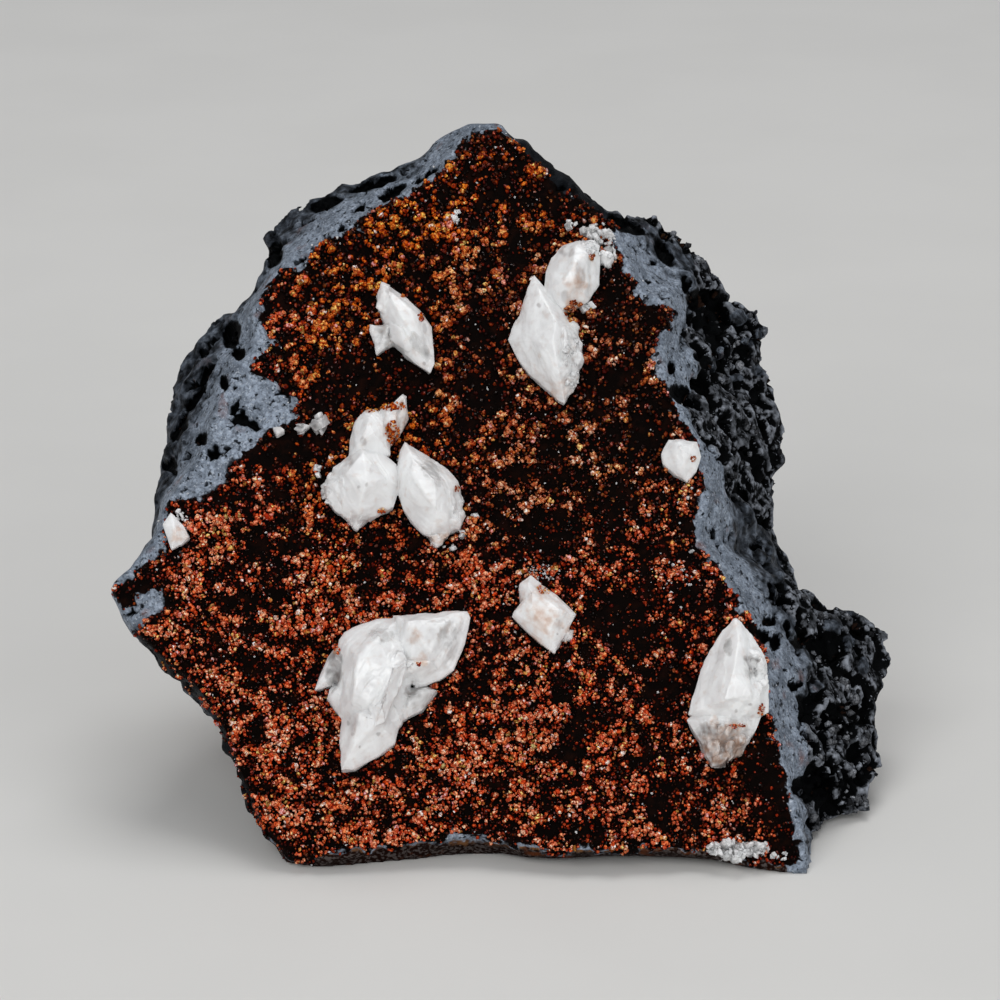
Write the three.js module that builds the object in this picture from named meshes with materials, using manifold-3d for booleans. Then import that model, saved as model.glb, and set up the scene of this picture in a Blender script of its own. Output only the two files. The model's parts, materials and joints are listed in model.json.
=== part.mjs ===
// Calcite on limonite: a hand-sized broken block of limonite whose front face is a flat, leaning
// druse, with ten groups of white dogtooth calcite crystals grown on that face.
// Millimetres, +Z up, the druse looking towards -Y. The origin is on the surface that the block
// rests on, under the middle of its bounding box.
//
// Everything is drawn in the frame of the druse face: x to the right, y up the leaning face and
// z out of it. A negative z is a depth behind the face. The block is a loft through three
// outlines (its back, its widest girth and the edge of the druse), then cut flat underneath.
// Each crystal group is the union of convex crystals, cut to the shape of the stone it sits on.
import * as THREE from "three";
import { ConvexGeometry } from "three/addons/geometries/ConvexGeometry.js";
import { LoftGeometry } from "three/addons/geometries/LoftGeometry.js";
import { ImprovedNoise } from "three/addons/math/ImprovedNoise.js";
import { mergeVertices } from "three/addons/utils/BufferGeometryUtils.js";
import Module from "manifold-3d";

const wasm = await Module();
wasm.setup();

// ---- driving dimensions -------------------------------------------------------------------

const LEAN = THREE.MathUtils.degToRad(35); // of the druse face, back from upright
const FACE_HEIGHT = 34.5; // of the face's own origin above the base
const SEAT_GAP = 0.3; // between a crystal and the stone under it
const ROOT_DEPTH = 2.5; // how far a crystal is drawn below the face before it is cut
const ROOT_TAPER = 0.86; // width of a crystal's root as a part of its girdle's
const COLUMNS = 84; // points round each section of the loft
const FACE_RELIEF = 0.9; // swell of the druse face
const FACE_WAVE = 17; // width of one of its swells
const RIM_RELIEF = 0.8; // hackly relief of the broken rim
const RIM_WAVE = 7;
const SIDE_BULGE = 2.2; // how full the sides are
const SIDE_WAVE = 11;
const BACK_RELIEF = 1.6; // hackly relief of the broken sides and back
const BACK_WAVE = 12;
const BACK_DEPTH = 30; // where the back's relief is read, behind the face
const BACK_FULLNESS = 2; // how far the back stands out in its middle
const BASE_RECESS = 2.6; // hollow under the block, between its front lip and its back land
const UNDERSIDE = [0.55, 0.8]; // how far down a side looks where its bulge turns to the recess
const MOST = 200; // size of the boxes that cut the block flat
const TURN_SPREAD = 0.45; // radians that the girth's bumps are spread over on the sides
const EDGE_SPREAD = 0.2; // radians that the back edge's bumps are spread over

// Where the sections of the loft lie, each as a fraction of the way across its own stretch.
const BACK_STEPS = [0.14, 0.4, 0.7, 0.9];
const SIDE_STEPS = [1, 0.8, 0.6, 0.4, 0.2];
const RIM_STEPS = [1, 0.66, 0.33];
const FACE_STEPS = [1, 0.88, 0.7, 0.5, 0.3, 0.12];

// The edge of the druse face, anticlockwise from the right: [x, y].
const DRUSE_EDGE = [
  [23, 0], [22, 3], [21.5, 7], [18.5, 12.5], [17.5, 18], [20, 22.5], [16.5, 23.5], [14, 27],
  [13.5, 32], [10.5, 34.5], [6.5, 37.5], [2.5, 41.8], [-1.5, 44.4], [-5, 41], [-8, 37],
  [-13, 34.5], [-20, 30], [-24.5, 27], [-27.5, 22.5], [-27, 18.5], [-29.5, 14.5],
  [-32, 9], [-33.5, 4], [-36.5, 0.5], [-37.5, -4], [-40, -7], [-43, -10], [-41.5, -12.5],
  [-39, -15.5], [-36, -18.5], [-31.5, -22.5], [-29.5, -27], [-27.5, -32], [-26, -35.5],
  [-24, -39], [-21.5, -40.5], [-17, -39.5], [-13, -38.5], [-7.5, -38], [-3, -37], [0.5, -38],
  [4.5, -39.5], [11, -39], [17, -39], [23.5, -39.5], [29, -41], [33.5, -41.5], [32.5, -35.5],
  [31, -31.5], [29.5, -24], [28.5, -16], [26, -11], [23.5, -7.5], [21.5, -4.5],
];

// The widest girth of the block, seen square to the druse: [x, y, z].
const WIDEST = [
  [32, 0, -16], [31, 6, -16], [33, 11, -18], [33, 17.5, -18], [30.5, 22.5, -17], [31.5, 25, -17],
  [27, 28, -15], [25.5, 31, -14], [22, 34, -12], [18.5, 37, -10], [14.5, 35.8, -7],
  [11.5, 36, -4], [7, 39, -3], [2.5, 43.4, -3], [-1.5, 46, -3], [-5, 45.2, -4.5], [-11.5, 41, -7],
  [-17.5, 39.5, -8], [-22, 38.5, -9], [-26, 36, -10], [-27, 32.5, -9], [-26.5, 29, -6],
  [-29.5, 25, -8], [-32.5, 23, -11], [-36, 20.5, -12], [-38, 15.5, -12], [-37.5, 9.5, -10],
  [-39, 5, -10], [-38.5, -0.5, -7], [-38.5, -3.5, -6], [-41, -7, -4], [-43.5, -9, -3],
  [-42, -11.5, -4], [-40, -15, -5], [-36.5, -18.5, -5], [-32.5, -22, -5], [-30, -26, -5],
  [-28.5, -31, -5], [-26.5, -35, -5], [-24.5, -39, -4], [-21.5, -40.7, -3], [-16, -40.5, -3.5],
  [-11, -40, -5], [-5.5, -38.8, -6], [0, -38.5, -5], [4.5, -39.5, -3], [11, -39.2, -3],
  [17.5, -39.2, -3], [24, -39.5, -3], [28.5, -41, -2.5], [31.5, -42, -1.5], [34.5, -42, -1.5],
  [34, -38, -4], [34.5, -34, -11], [38, -33.5, -11.5], [42, -32.5, -12], [42, -29, -14],
  [43.5, -25, -16], [42.5, -19.5, -18], [45, -14, -20], [44, -9.5, -20], [41, -7.8, -20],
  [36, -6.5, -19], [34, -4, -18],
];

// The edge where the sides turn into the back: [x, y, z].
const BACK_EDGE = [
  [27, 4, -33], [25, 18, -27], [17, 28, -21], [8, 33, -17], [-2, 37, -15], [-14, 33, -18],
  [-23, 27, -22], [-29, 16, -28], [-30, 4, -32], [-28, -6, -38], [-23, -13, -44],
  [-10, -15, -48], [8, -15, -49], [24, -15, -47], [34, -13, -42], [36, -6, -36],
];
const BACK_MIDDLE = new THREE.Vector3(-1, 8, -42); // the fullest point of the back

// Flat breaks that bound the back: what lies further than distance along the normal is gone.
const BREAKS = [
  { normal: [-0.05, 0.6, -0.8], distance: 32.2 }, // up the back, under the top
  { normal: [0.72, 0.1, -0.69], distance: 47 }, // right and low
  { normal: [-0.78, 0.05, -0.62], distance: 41 }, // left
  { normal: [0.3, -0.35, -0.89], distance: 47.5 }, // heel
];

// ---- helpers ------------------------------------------------------------------------------

const noise = new ImprovedNoise();

/** Two octaves of smooth noise, about -1 to 1, over features of the given size. */
function roughness(x, y, z, size) {
  const coarse = noise.noise(x / size, y / size, z / size);
  const fine = noise.noise((2.3 * x) / size + 7, (2.3 * y) / size + 3, (2.3 * z) / size + 5);
  return 1.4 * coarse + 0.7 * fine;
}

/** A closed geometry as a manifold-3d solid. */
function solidOf(geometry) {
  const bare = new THREE.BufferGeometry();
  bare.setAttribute("position", geometry.getAttribute("position"));
  bare.setIndex(geometry.getIndex());
  const merged = mergeVertices(bare, 1e-3);
  return new wasm.Manifold(
    new wasm.Mesh({
      numProp: 3,
      vertProperties: new Float32Array(merged.getAttribute("position").array),
      triVerts: new Uint32Array(merged.getIndex().array),
    }),
  );
}

/** A manifold-3d solid as a geometry with flat faces. */
function geometryOf(solid) {
  const mesh = solid.getMesh();
  const geometry = new THREE.BufferGeometry();
  geometry.setAttribute("position", new THREE.Float32BufferAttribute(mesh.vertProperties, 3));
  geometry.setIndex(new THREE.BufferAttribute(mesh.triVerts, 1));
  const flat = geometry.toNonIndexed();
  flat.computeVertexNormals();
  return flat;
}

/** Where a ray from the axis at this angle leaves a closed outline of [x, y, z?] points. */
function outlineAt(outline, angle) {
  const direction = new THREE.Vector2(Math.cos(angle), Math.sin(angle));
  const found = new THREE.Vector3();
  let reach = 0;
  outline.forEach((start, i) => {
    const end = outline[(i + 1) % outline.length];
    const a = new THREE.Vector3(start[0], start[1], start[2] ?? 0);
    const b = new THREE.Vector3(end[0], end[1], end[2] ?? 0);
    const sideA = direction.x * a.y - direction.y * a.x;
    const sideB = direction.x * b.y - direction.y * b.x;
    if (sideA > 0 === sideB > 0) return;
    const hit = a.clone().lerp(b, sideA / (sideA - sideB));
    const along = hit.x * direction.x + hit.y * direction.y;
    if (along > reach) {
      reach = along;
      found.copy(hit);
    }
  });
  return found;
}

/** outlineAt, averaged over a spread of angles so that the outline's small bumps fade out. */
function softOutlineAt(outline, angle, spread) {
  const sum = new THREE.Vector3();
  for (let i = -3; i <= 3; i += 1) sum.add(outlineAt(outline, angle + (i / 3) * spread));
  return sum.divideScalar(7);
}

/** One section of the loft: COLUMNS points, anticlockwise, made by place(angle). */
function section(place) {
  return Array.from({ length: COLUMNS }, (_, i) => place((i / COLUMNS) * 2 * Math.PI));
}

// ---- the stone ----------------------------------------------------------------------------

/** The swell of the druse face at x, y. */
function faceSwell(x, y) {
  return FACE_RELIEF * roughness(x, y, 0, FACE_WAVE);
}

/** A section that lies on the druse face, a fraction of the way from its middle to its edge. */
function faceSection(fraction) {
  return section((angle) => {
    const point = outlineAt(DRUSE_EDGE, angle).multiplyScalar(fraction);
    point.z = faceSwell(point.x, point.y);
    return point;
  });
}

/** A section of the broken rim, a fraction of the way from the druse edge to the widest girth. */
function rimSection(fraction) {
  return section((angle) => {
    const edge = outlineAt(DRUSE_EDGE, angle);
    const point = edge.clone().lerp(outlineAt(WIDEST, angle), fraction);
    const swell = faceSwell(edge.x, edge.y) * (1 - fraction);
    const arch = Math.sin(Math.PI * fraction);
    const relief = RIM_RELIEF * roughness(point.x, point.y, point.z, RIM_WAVE) * arch;
    point.z += swell + relief;
    return point;
  });
}

/**
 * A section of the sides, a fraction of the way from the widest girth to the back's edge. It
 * never stands further out than the girth.
 */
function sideSection(fraction) {
  return section((angle) => {
    const girth = outlineAt(WIDEST, angle);
    const front = softOutlineAt(WIDEST, angle, TURN_SPREAD * Math.min(1, 2 * fraction));
    const back = softOutlineAt(BACK_EDGE, angle, EDGE_SPREAD);
    const point = front.lerp(back, fraction);
    const outwards = new THREE.Vector3(Math.cos(angle), Math.sin(angle), 0);
    const underneath = THREE.MathUtils.smoothstep(-outwards.y, ...UNDERSIDE);
    const arch = Math.sin(Math.PI * fraction);
    const swell = THREE.MathUtils.lerp(SIDE_BULGE, -BASE_RECESS, underneath) * arch;
    const relief = BACK_RELIEF * roughness(point.x, point.y, point.z, SIDE_WAVE) * arch;
    point.addScaledVector(outwards, swell + relief);
    const excess = Math.max(1, Math.hypot(point.x, point.y) / Math.hypot(girth.x, girth.y));
    return point.set(point.x / excess, point.y / excess, point.z);
  });
}

/** A section of the back, a fraction of the way from its middle to its edge. */
function backSection(fraction) {
  return section((angle) => {
    const edge = softOutlineAt(BACK_EDGE, angle, EDGE_SPREAD);
    const point = BACK_MIDDLE.clone().lerp(edge, fraction);
    const fullness = 1 - fraction ** 2;
    const relief = BACK_RELIEF * roughness(point.x, point.y, BACK_DEPTH, BACK_WAVE);
    point.z += (relief - BACK_FULLNESS) * fullness;
    return point;
  });
}

/** A box that covers all that lies further than distance along the normal. */
function breakSolid({ normal, distance }) {
  const direction = new THREE.Vector3(...normal).normalize();
  const box = new THREE.BoxGeometry(MOST, MOST, MOST);
  box.translate(0, 0, MOST / 2 + distance);
  box.applyQuaternion(
    new THREE.Quaternion().setFromUnitVectors(new THREE.Vector3(0, 0, 1), direction),
  );
  return solidOf(box);
}

/** The whole stone in the face's frame, with its flat breaks and its base cut flat. */
function stoneSolid(faceFrame) {
  const sections = [
    ...BACK_STEPS.map(backSection),
    ...SIDE_STEPS.map(sideSection),
    ...RIM_STEPS.map(rimSection),
    ...FACE_STEPS.map(faceSection),
  ];
  const loft = new LoftGeometry(sections, { capStart: true, capEnd: true });
  const above = new THREE.BoxGeometry(MOST, MOST, MOST);
  above.translate(0, 0, MOST / 2);
  above.applyMatrix4(faceFrame.clone().invert());
  const broken = BREAKS.map(breakSolid).reduce((rest, gone) => rest.subtract(gone), solidOf(loft));
  return broken.intersect(solidOf(above));
}

// ---- the calcite --------------------------------------------------------------------------

/**
 * One dogtooth crystal lying on the face: the convex hull of its girdle, of its crest above the
 * girdle, and of its root below the face, which is a little narrower than the girdle.
 */
function crystal({ girdle, height, crest, at = [0, 0] }) {
  const points = [];
  girdle.forEach(([x, y]) => {
    points.push(new THREE.Vector3(x, y, height));
    points.push(new THREE.Vector3(ROOT_TAPER * x, ROOT_TAPER * y, -ROOT_DEPTH));
  });
  crest.forEach(([x, y, z]) => points.push(new THREE.Vector3(x, y, z)));
  const hull = new ConvexGeometry(points);
  hull.translate(at[0], at[1], 0);
  return solidOf(hull);
}

// Each group has its seat on the face and its crystals. Girdles are [x, y], crests [x, y, z].
const GROUPS = {
  calcite_upper_left: {
    seat: [-11, 20],
    crystals: [
      {
        height: 1.1,
        girdle: [
          [-2, 4.8], [-2.8, 3.6], [-2.3, 0.8], [0.4, -3.7], [3.3, -5.8], [3.8, -4.7],
          [3.4, -0.4], [2.1, 1.5], [0.8, 2.9], [-1.1, 4.4],
        ],
        crest: [[-1.7, 3.6, 2.4], [-0.2, 0.7, 3.5], [1.7, -2.4, 3.1], [1.2, 0.9, 3]],
      },
      {
        at: [-1.6, 2.6],
        height: 1.8,
        girdle: [[-0.6, 2], [0.4, 1.7], [0.9, -0.6], [-0.2, -1.7], [-1.1, -0.9], [-1.1, 1]],
        crest: [[-0.2, 0.6, 3.2]],
      },
      {
        at: [-2, -1.6],
        height: 0.9,
        girdle: [[-1.4, 1.5], [-0.7, -1.9], [1.2, -0.7], [1.4, 1.7]],
        crest: [[0.4, 0.6, 2.2]],
      },
      {
        at: [0.3, -1.9],
        height: 1.9,
        girdle: [[-1.5, 1.7], [0.2, 1.3], [1.2, -1.4], [0.3, -1.6], [-1.4, -0.2]],
        crest: [[-0.3, 0.4, 3.9]],
      },
    ],
  },
  calcite_upper_pair: {
    seat: [5.5, 20],
    crystals: [
      {
        at: [-0.5, -2.5],
        height: 1.2,
        girdle: [
          [-1.2, 8.1], [0.1, 6.3], [3.5, 2.2], [4.3, -2], [3.3, -5], [2.1, -6.8], [0.1, -5.2],
          [-1.8, -3.4], [-3.4, -1.1], [-4.2, 0.6], [-3.3, 2.6], [-2.3, 5.2],
        ],
        crest: [[-0.5, 5, 3], [1.1, 1.7, 4.6], [0.8, -0.9, 4.7], [1.5, -4.2, 3.8]],
      },
      {
        at: [1.6, -4],
        height: 1.7,
        girdle: [
          [-0.3, 4], [1.1, 3.4], [1.9, 1.5], [2.2, -0.4], [1.4, -2.4], [0.2, -4.4], [-0.9, -2.8],
          [-1, 0.6],
        ],
        crest: [[0, 2.5, 4.3], [0.9, 0.3, 3.9], [-0.1, -2, 3.7]],
      },
      {
        at: [2.5, -0.4],
        height: 1.4,
        girdle: [[-0.8, 0.7], [0.4, 0.9], [0.8, -0.2], [0.1, -0.9], [-0.8, -0.6]],
        crest: [[0.1, 0.1, 2.6]],
      },
      {
        at: [2.5, 5.5],
        height: 1.3,
        girdle: [
          [0.9, 4.2], [2.6, 4], [3.1, 2.6], [3, -1], [1.8, -3], [-1.1, -4.3], [-3.1, -2.1],
          [-2.9, 0.4], [-2.3, 2.1], [-1, 3.4],
        ],
        crest: [[0.3, 2.4, 3.4], [0.2, 0.2, 4.4], [0.3, -1.5, 4.1], [-1.1, -1.6, 3.9], [2, 2.2, 3.2]],
      },
      {
        at: [4.2, 8.4],
        height: 1.6,
        girdle: [[-1.7, 0.7], [0.3, 1.1], [1.4, 0.5], [1.1, -0.7], [-1.3, -0.5]],
        crest: [[-0.6, 0.3, 3], [0.5, 0.1, 3]],
      },
    ],
  },
  calcite_middle_cluster: {
    seat: [-12, 2.5],
    crystals: [
      {
        at: [-2.4, 4.7],
        height: 1.4,
        girdle: [
          [-0.5, 2.7], [0.8, 2.8], [2, 1.9], [2.4, 0.1], [2.3, -2.4], [-0.4, -3.6], [-2.3, -2.8],
          [-2.1, -0.7], [-1.6, 1.2],
        ],
        crest: [[-0.1, 1.1, 3.6], [0.7, -0.6, 3.9], [-0.7, -1.4, 3.8]],
      },
      {
        at: [0.3, 6.4],
        height: 1.2,
        girdle: [
          [-1.6, 1.1], [-0.2, 2], [1, 3], [1.4, 2.6], [1.6, 0.6], [0.9, -1.4], [-0.6, -3.2],
          [-1.3, -2.3],
        ],
        crest: [[0.6, 1.7, 2.9], [0.3, -0.4, 3.1], [-0.7, 0.4, 3.1]],
      },
      {
        at: [-3.5, -1.5],
        height: 1.5,
        girdle: [
          [0.4, 5.1], [2.7, 3.9], [4.1, 2.6], [4.6, 0.2], [3.9, -2.2], [1.9, -3.3], [-0.4, -4.4],
          [-2.9, -2.5], [-3.7, -0.9], [-3.3, 1.6],
        ],
        crest: [[0.5, 3.2, 4], [-1.2, 0.9, 4.4], [1, -0.2, 5], [2.9, 0.4, 4], [0.2, -2.4, 3.6]],
      },
      {
        at: [-6.3, -1.6],
        height: 1.1,
        girdle: [[-0.2, 2], [0.7, 1.7], [1.4, -0.6], [0.5, -1.8], [-0.5, -1.1], [-1.5, 0.5]],
        crest: [[0.3, 0.5, 2.8], [0.6, -0.5, 2.7]],
      },
      {
        at: [-3.3, -4.6],
        height: 1,
        girdle: [[-1.3, 1.1], [1.9, 1.2], [1.5, 0.1], [-0.4, -1.4], [-1.2, -0.7]],
        crest: [[0, 0.3, 2.6]],
      },
      {
        at: [4, -2.5],
        height: 1.4,
        girdle: [
          [-2.5, 6.3], [0.1, 4.7], [2.2, 3], [3.3, 1.7], [4.1, -0.3], [3.6, -2.8], [2.4, -4.6],
          [0.5, -4.9], [-0.8, -3.9], [-1.9, -2.7], [-2.7, -1.4], [-3.3, 0.5], [-3.3, 3.1],
          [-3, 5.2],
        ],
        crest: [[-1.7, 4, 3.4], [-1.5, 1, 4.7], [0.7, 0.9, 5], [1.1, -2.2, 4.3]],
      },
      {
        at: [7.4, -4.6],
        height: 1,
        girdle: [[-1.1, 2.2], [0.3, 2], [0.9, 0.4], [0.4, -1.5], [-0.9, -1.9], [-1.5, -0.4]],
        crest: [[-0.4, 0.6, 2.7], [-0.5, -0.6, 2.5]],
      },
      {
        at: [4.8, -6.9],
        height: 0.8,
        girdle: [[-0.7, 1.4], [0.6, 1.5], [1.1, 0], [0.3, -1.1], [-0.6, -0.8]],
        crest: [[0.1, 0.5, 2.2]],
      },
    ],
  },
  calcite_right_edge: {
    seat: [20, 4.5],
    crystals: [
      {
        height: 1.2,
        girdle: [
          [-1.4, 2], [0.2, 2], [1.7, 1.8], [2.1, 0.1], [1.6, -1.6], [0.5, -2.7], [-0.9, -1.9],
          [-2, -0.6], [-2.2, 0.4],
        ],
        crest: [[-0.3, 0.8, 3.2], [0.7, -0.2, 3], [0.1, -1, 2.7]],
      },
    ],
  },
  calcite_lower_fan: {
    seat: [-12.5, -20.5],
    crystals: [
      {
        at: [-1.5, -1.5],
        height: 1.6,
        girdle: [
          [-3.4, 5.8], [-2.8, 6.6], [-1.4, 7.4], [0.6, 8.2], [3.2, 8.4], [4.3, 5.9], [4.5, 1.2],
          [3.4, -3.6], [1.6, -5], [-2.3, -4], [-3.5, -2.6], [-3.9, 2.4],
        ],
        crest: [[0.9, 5.2, 5.2], [-1.2, 3, 5.6], [2.2, 1.6, 6], [-1.6, -1, 5.2], [0.8, -2, 5]],
      },
      {
        at: [-1.7, -6.4],
        height: 1.5,
        girdle: [
          [-2.9, 3.6], [-3.1, 0.4], [-2.9, -3.6], [-1.5, -3.5], [0.8, -2.2], [2.9, -0.7], [3.5, 2],
          [2.4, 4.6],
        ],
        crest: [[-0.9, 1.8, 4.7], [1.1, 1.2, 4.5], [-1.4, -1.2, 3.6]],
      },
      {
        at: [0.3, -2.1],
        height: 4.5,
        girdle: [
          [1.6, 4.1], [2.3, 2.8], [1.5, -0.4], [0, -3.4], [-1.2, -3.7], [-1.9, -1.8], [-1.2, 1.8],
          [0.2, 3.8],
        ],
        crest: [[0.7, 2.2, 6.3], [-0.3, -1.2, 6.1]],
      },
      {
        at: [5.5, 4],
        height: 1.7,
        girdle: [
          [-4.7, 3.1], [-1.5, 3.1], [1.2, 3.4], [3.5, 3.6], [3.8, 2.8], [3.1, -0.2], [2, -3.1],
          [0.5, -4.1], [-2.2, -5.1], [-4.4, -1.9],
        ],
        crest: [[-2.8, 1.4, 5], [0.6, 1.6, 4], [-0.4, -1.6, 4.2], [2.2, 1.8, 3.2]],
      },
      {
        at: [4, 0.9],
        height: 2.2,
        girdle: [[-2.4, 0.9], [0.4, 1.4], [2, 0.9], [1.9, -0.2], [-0.2, -1.4], [-2.2, -1.2]],
        crest: [[-1, 0.1, 5], [0.8, 0.3, 4.7]],
      },
      {
        at: [-6, 1],
        height: 1,
        girdle: [[1.1, 3.2], [-0.2, 1.7], [-1.1, -0.8], [-1.6, -2.1], [0.6, -1.5], [2.4, 0.4]],
        crest: [[0.6, 1.2, 2.6], [1.8, 0.2, 2.8]],
      },
      {
        at: [3.5, -2.5],
        height: 1.1,
        girdle: [
          [-1.8, 1.6], [1.2, 1.8], [2.3, 1.4], [1.5, 0.1], [0.6, -0.9], [-0.4, -1], [-1.4, -1.9],
          [-2.6, -0.4],
        ],
        crest: [[-0.8, 0.4, 2.9], [0.8, 0.9, 2.3]],
      },
      {
        at: [-5, -2],
        height: 1.2,
        girdle: [[-1.4, -0.1], [-1.1, 1], [-0.5, 1.6], [1.5, 1.2], [1.9, -1.2], [-0.1, -1.7]],
        crest: [[0, 0.2, 2.8]],
      },
    ],
  },
  calcite_small_rhomb: {
    seat: [4.5, -13],
    crystals: [
      {
        height: 1.3,
        girdle: [
          [-0.2, 3.3], [1.7, 2], [3.1, 0.7], [3.9, -0.2], [3.1, -1.7], [2.1, -3.1], [1.4, -4.5],
          [0, -3.5], [-1.4, -2.1], [-2.5, -1.2], [-3.2, -0.5], [-2.4, 1],
        ],
        crest: [[-1, 1.6, 3.1], [-1.1, 0, 3.4], [1.9, -0.2, 3.2], [0.9, -2.4, 2.7]],
      },
      {
        at: [-1.3, 2.1],
        height: 1.2,
        girdle: [[0.2, 2.1], [1.3, 1.2], [1, -1.3], [-1, -0.7], [-1.2, 0.4], [-0.9, 1.1]],
        crest: [[-0.1, 0.6, 2.6], [0.2, -0.3, 3]],
      },
      {
        at: [2.9, -2.3],
        height: 0.6,
        girdle: [[-0.7, 0.8], [0.7, 0.6], [0.6, -0.6], [-0.6, -0.7]],
        crest: [[0, 0, 1.3]],
      },
    ],
  },
  calcite_right_dogtooth: {
    seat: [25, -22],
    crystals: [
      {
        height: 1.7,
        girdle: [
          [0.5, 8.2], [1.3, 7.8], [2.1, 6.4], [3.1, 5.3], [3.8, 3.5], [4.1, 0.7], [4, -2.2],
          [1.2, -3.6], [-1.8, -3.3], [-4.6, -2.4], [-4.3, -0.9], [-3.5, 1.9], [-2.3, 4.6],
          [-0.9, 7],
        ],
        crest: [[0.8, 5.4, 3.8], [0.1, 1.2, 5.4], [-0.9, -1.5, 5.1], [2.1, -0.9, 4.8]],
      },
      {
        at: [-0.8, -5],
        height: 1.2,
        girdle: [
          [-3.9, 2], [-2.5, -0.9], [-1.3, -3], [-0.6, -3.1], [-0.2, -2.2], [0.3, -3], [1, -2.1],
          [1.7, -0.5], [3.4, 0.8], [4, 2.4], [1.8, 4], [-2.2, 4],
        ],
        crest: [[-0.9, 1.2, 3.4], [-0.6, -0.8, 2.6], [2, 1.4, 2.9]],
      },
      {
        at: [2.3, 1.9],
        height: 3,
        girdle: [[-0.7, 2.7], [0.5, 2.5], [1.2, 0.6], [1.3, -1.4], [-0.4, -1.8], [-1.1, 0.4]],
        crest: [[0, 0.8, 4.3], [0.3, -0.6, 4.3]],
      },
    ],
  },
  calcite_left_chip: {
    seat: [-35.5, -4],
    crystals: [
      {
        height: 0.9,
        girdle: [
          [-0.6, 2.3], [0, 1.8], [0.9, 0.9], [1.5, -0.4], [0.7, -1.4], [-0.4, -1.8], [-0.9, -0.4],
          [-1.4, 1],
        ],
        crest: [[-0.1, 0.5, 1.9], [0.2, -0.5, 1.7]],
      },
    ],
  },
  calcite_upper_crust: {
    seat: [11, 29.5],
    crystals: [
      {
        at: [-0.9, 1.4],
        height: 0.7,
        girdle: [[-1, 0.9], [0.9, 0.8], [1.2, -0.7], [-0.4, -1]],
        crest: [[0, 0.1, 1.6]],
      },
      {
        at: [0.6, 0.7],
        height: 0.9,
        girdle: [[-1.3, 0.9], [0.9, 1], [1, -0.9], [-0.8, -1]],
        crest: [[0.1, 0.1, 1.9]],
      },
      {
        at: [0.9, -1],
        height: 0.8,
        girdle: [[-0.9, 1.3], [0.8, 1.4], [1.1, -0.6], [0.2, -1.5], [-0.9, -0.7]],
        crest: [[0.1, 0.2, 1.7]],
      },
    ],
  },
  calcite_lower_crust: {
    seat: [25.5, -38.6],
    crystals: [
      {
        at: [-1.6, 0],
        height: 0.6,
        girdle: [[-1.5, 0.3], [0.6, 0.8], [1.5, -0.5], [-0.8, -0.8]],
        crest: [[0, 0, 1.2]],
      },
      {
        at: [1.2, -0.2],
        height: 0.7,
        girdle: [[-1.7, 0.5], [0.4, 0.9], [1.9, 0.5], [1.8, -0.9], [-1.2, -0.8]],
        crest: [[-0.2, 0, 1.4], [0.9, -0.1, 1.3]],
      },
    ],
  },
};

/** A crystal group in its own frame, cut clear of the stone. */
function groupSolid({ seat, crystals }, stone) {
  const grown = crystals.map(crystal).reduce((whole, next) => whole.add(next));
  return grown.subtract(stone.translate([-seat[0], -seat[1], SEAT_GAP]));
}

// ---- the specimen -------------------------------------------------------------------------

const limonite = new THREE.MeshStandardMaterial({ color: 0x4a3026, roughness: 0.85, metalness: 0 });
const calcite = new THREE.MeshStandardMaterial({ color: 0xe9e6e1, roughness: 0.3, metalness: 0 });

const face = new THREE.Group();
face.rotation.x = Math.PI / 2 - LEAN;
face.position.z = FACE_HEIGHT;
face.updateMatrix();

const stone = stoneSolid(face.matrix);
const stoneMesh = new THREE.Mesh(geometryOf(stone), limonite);
stoneMesh.name = "limonite_block";
face.add(stoneMesh);

for (const [name, group] of Object.entries(GROUPS)) {
  const mesh = new THREE.Mesh(geometryOf(groupSolid(group, stone)), calcite);
  mesh.name = name;
  mesh.position.set(group.seat[0], group.seat[1], 0);
  face.add(mesh);
}

const specimen = new THREE.Group();
specimen.add(face);
const middle = new THREE.Box3().setFromObject(specimen, true).getCenter(new THREE.Vector3());
specimen.position.set(-middle.x, -middle.y, 0);

export default specimen;
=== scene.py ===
"""Calcite on limonite.

A hand-sized broken block of limonite. Its front is a flat, leaning druse of rust-red grains,
its rim is slate-grey goethite, pitted and almost black on the right, and its back is plain
brown limonite. Ten groups of white dogtooth calcite crystals sit on the druse.

Sizes are in millimetres in the frame of the druse: x to the right, y up the leaning face and
z out of it. Meshes are in metres in the row's frame.
"""

import sys

import json
import logging
import math
from dataclasses import dataclass, field
from enum import Enum
from typing import Any, Sequence

import bpy
import numpy as np
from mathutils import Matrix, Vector
from mathutils.bvhtree import BVHTree

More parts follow.
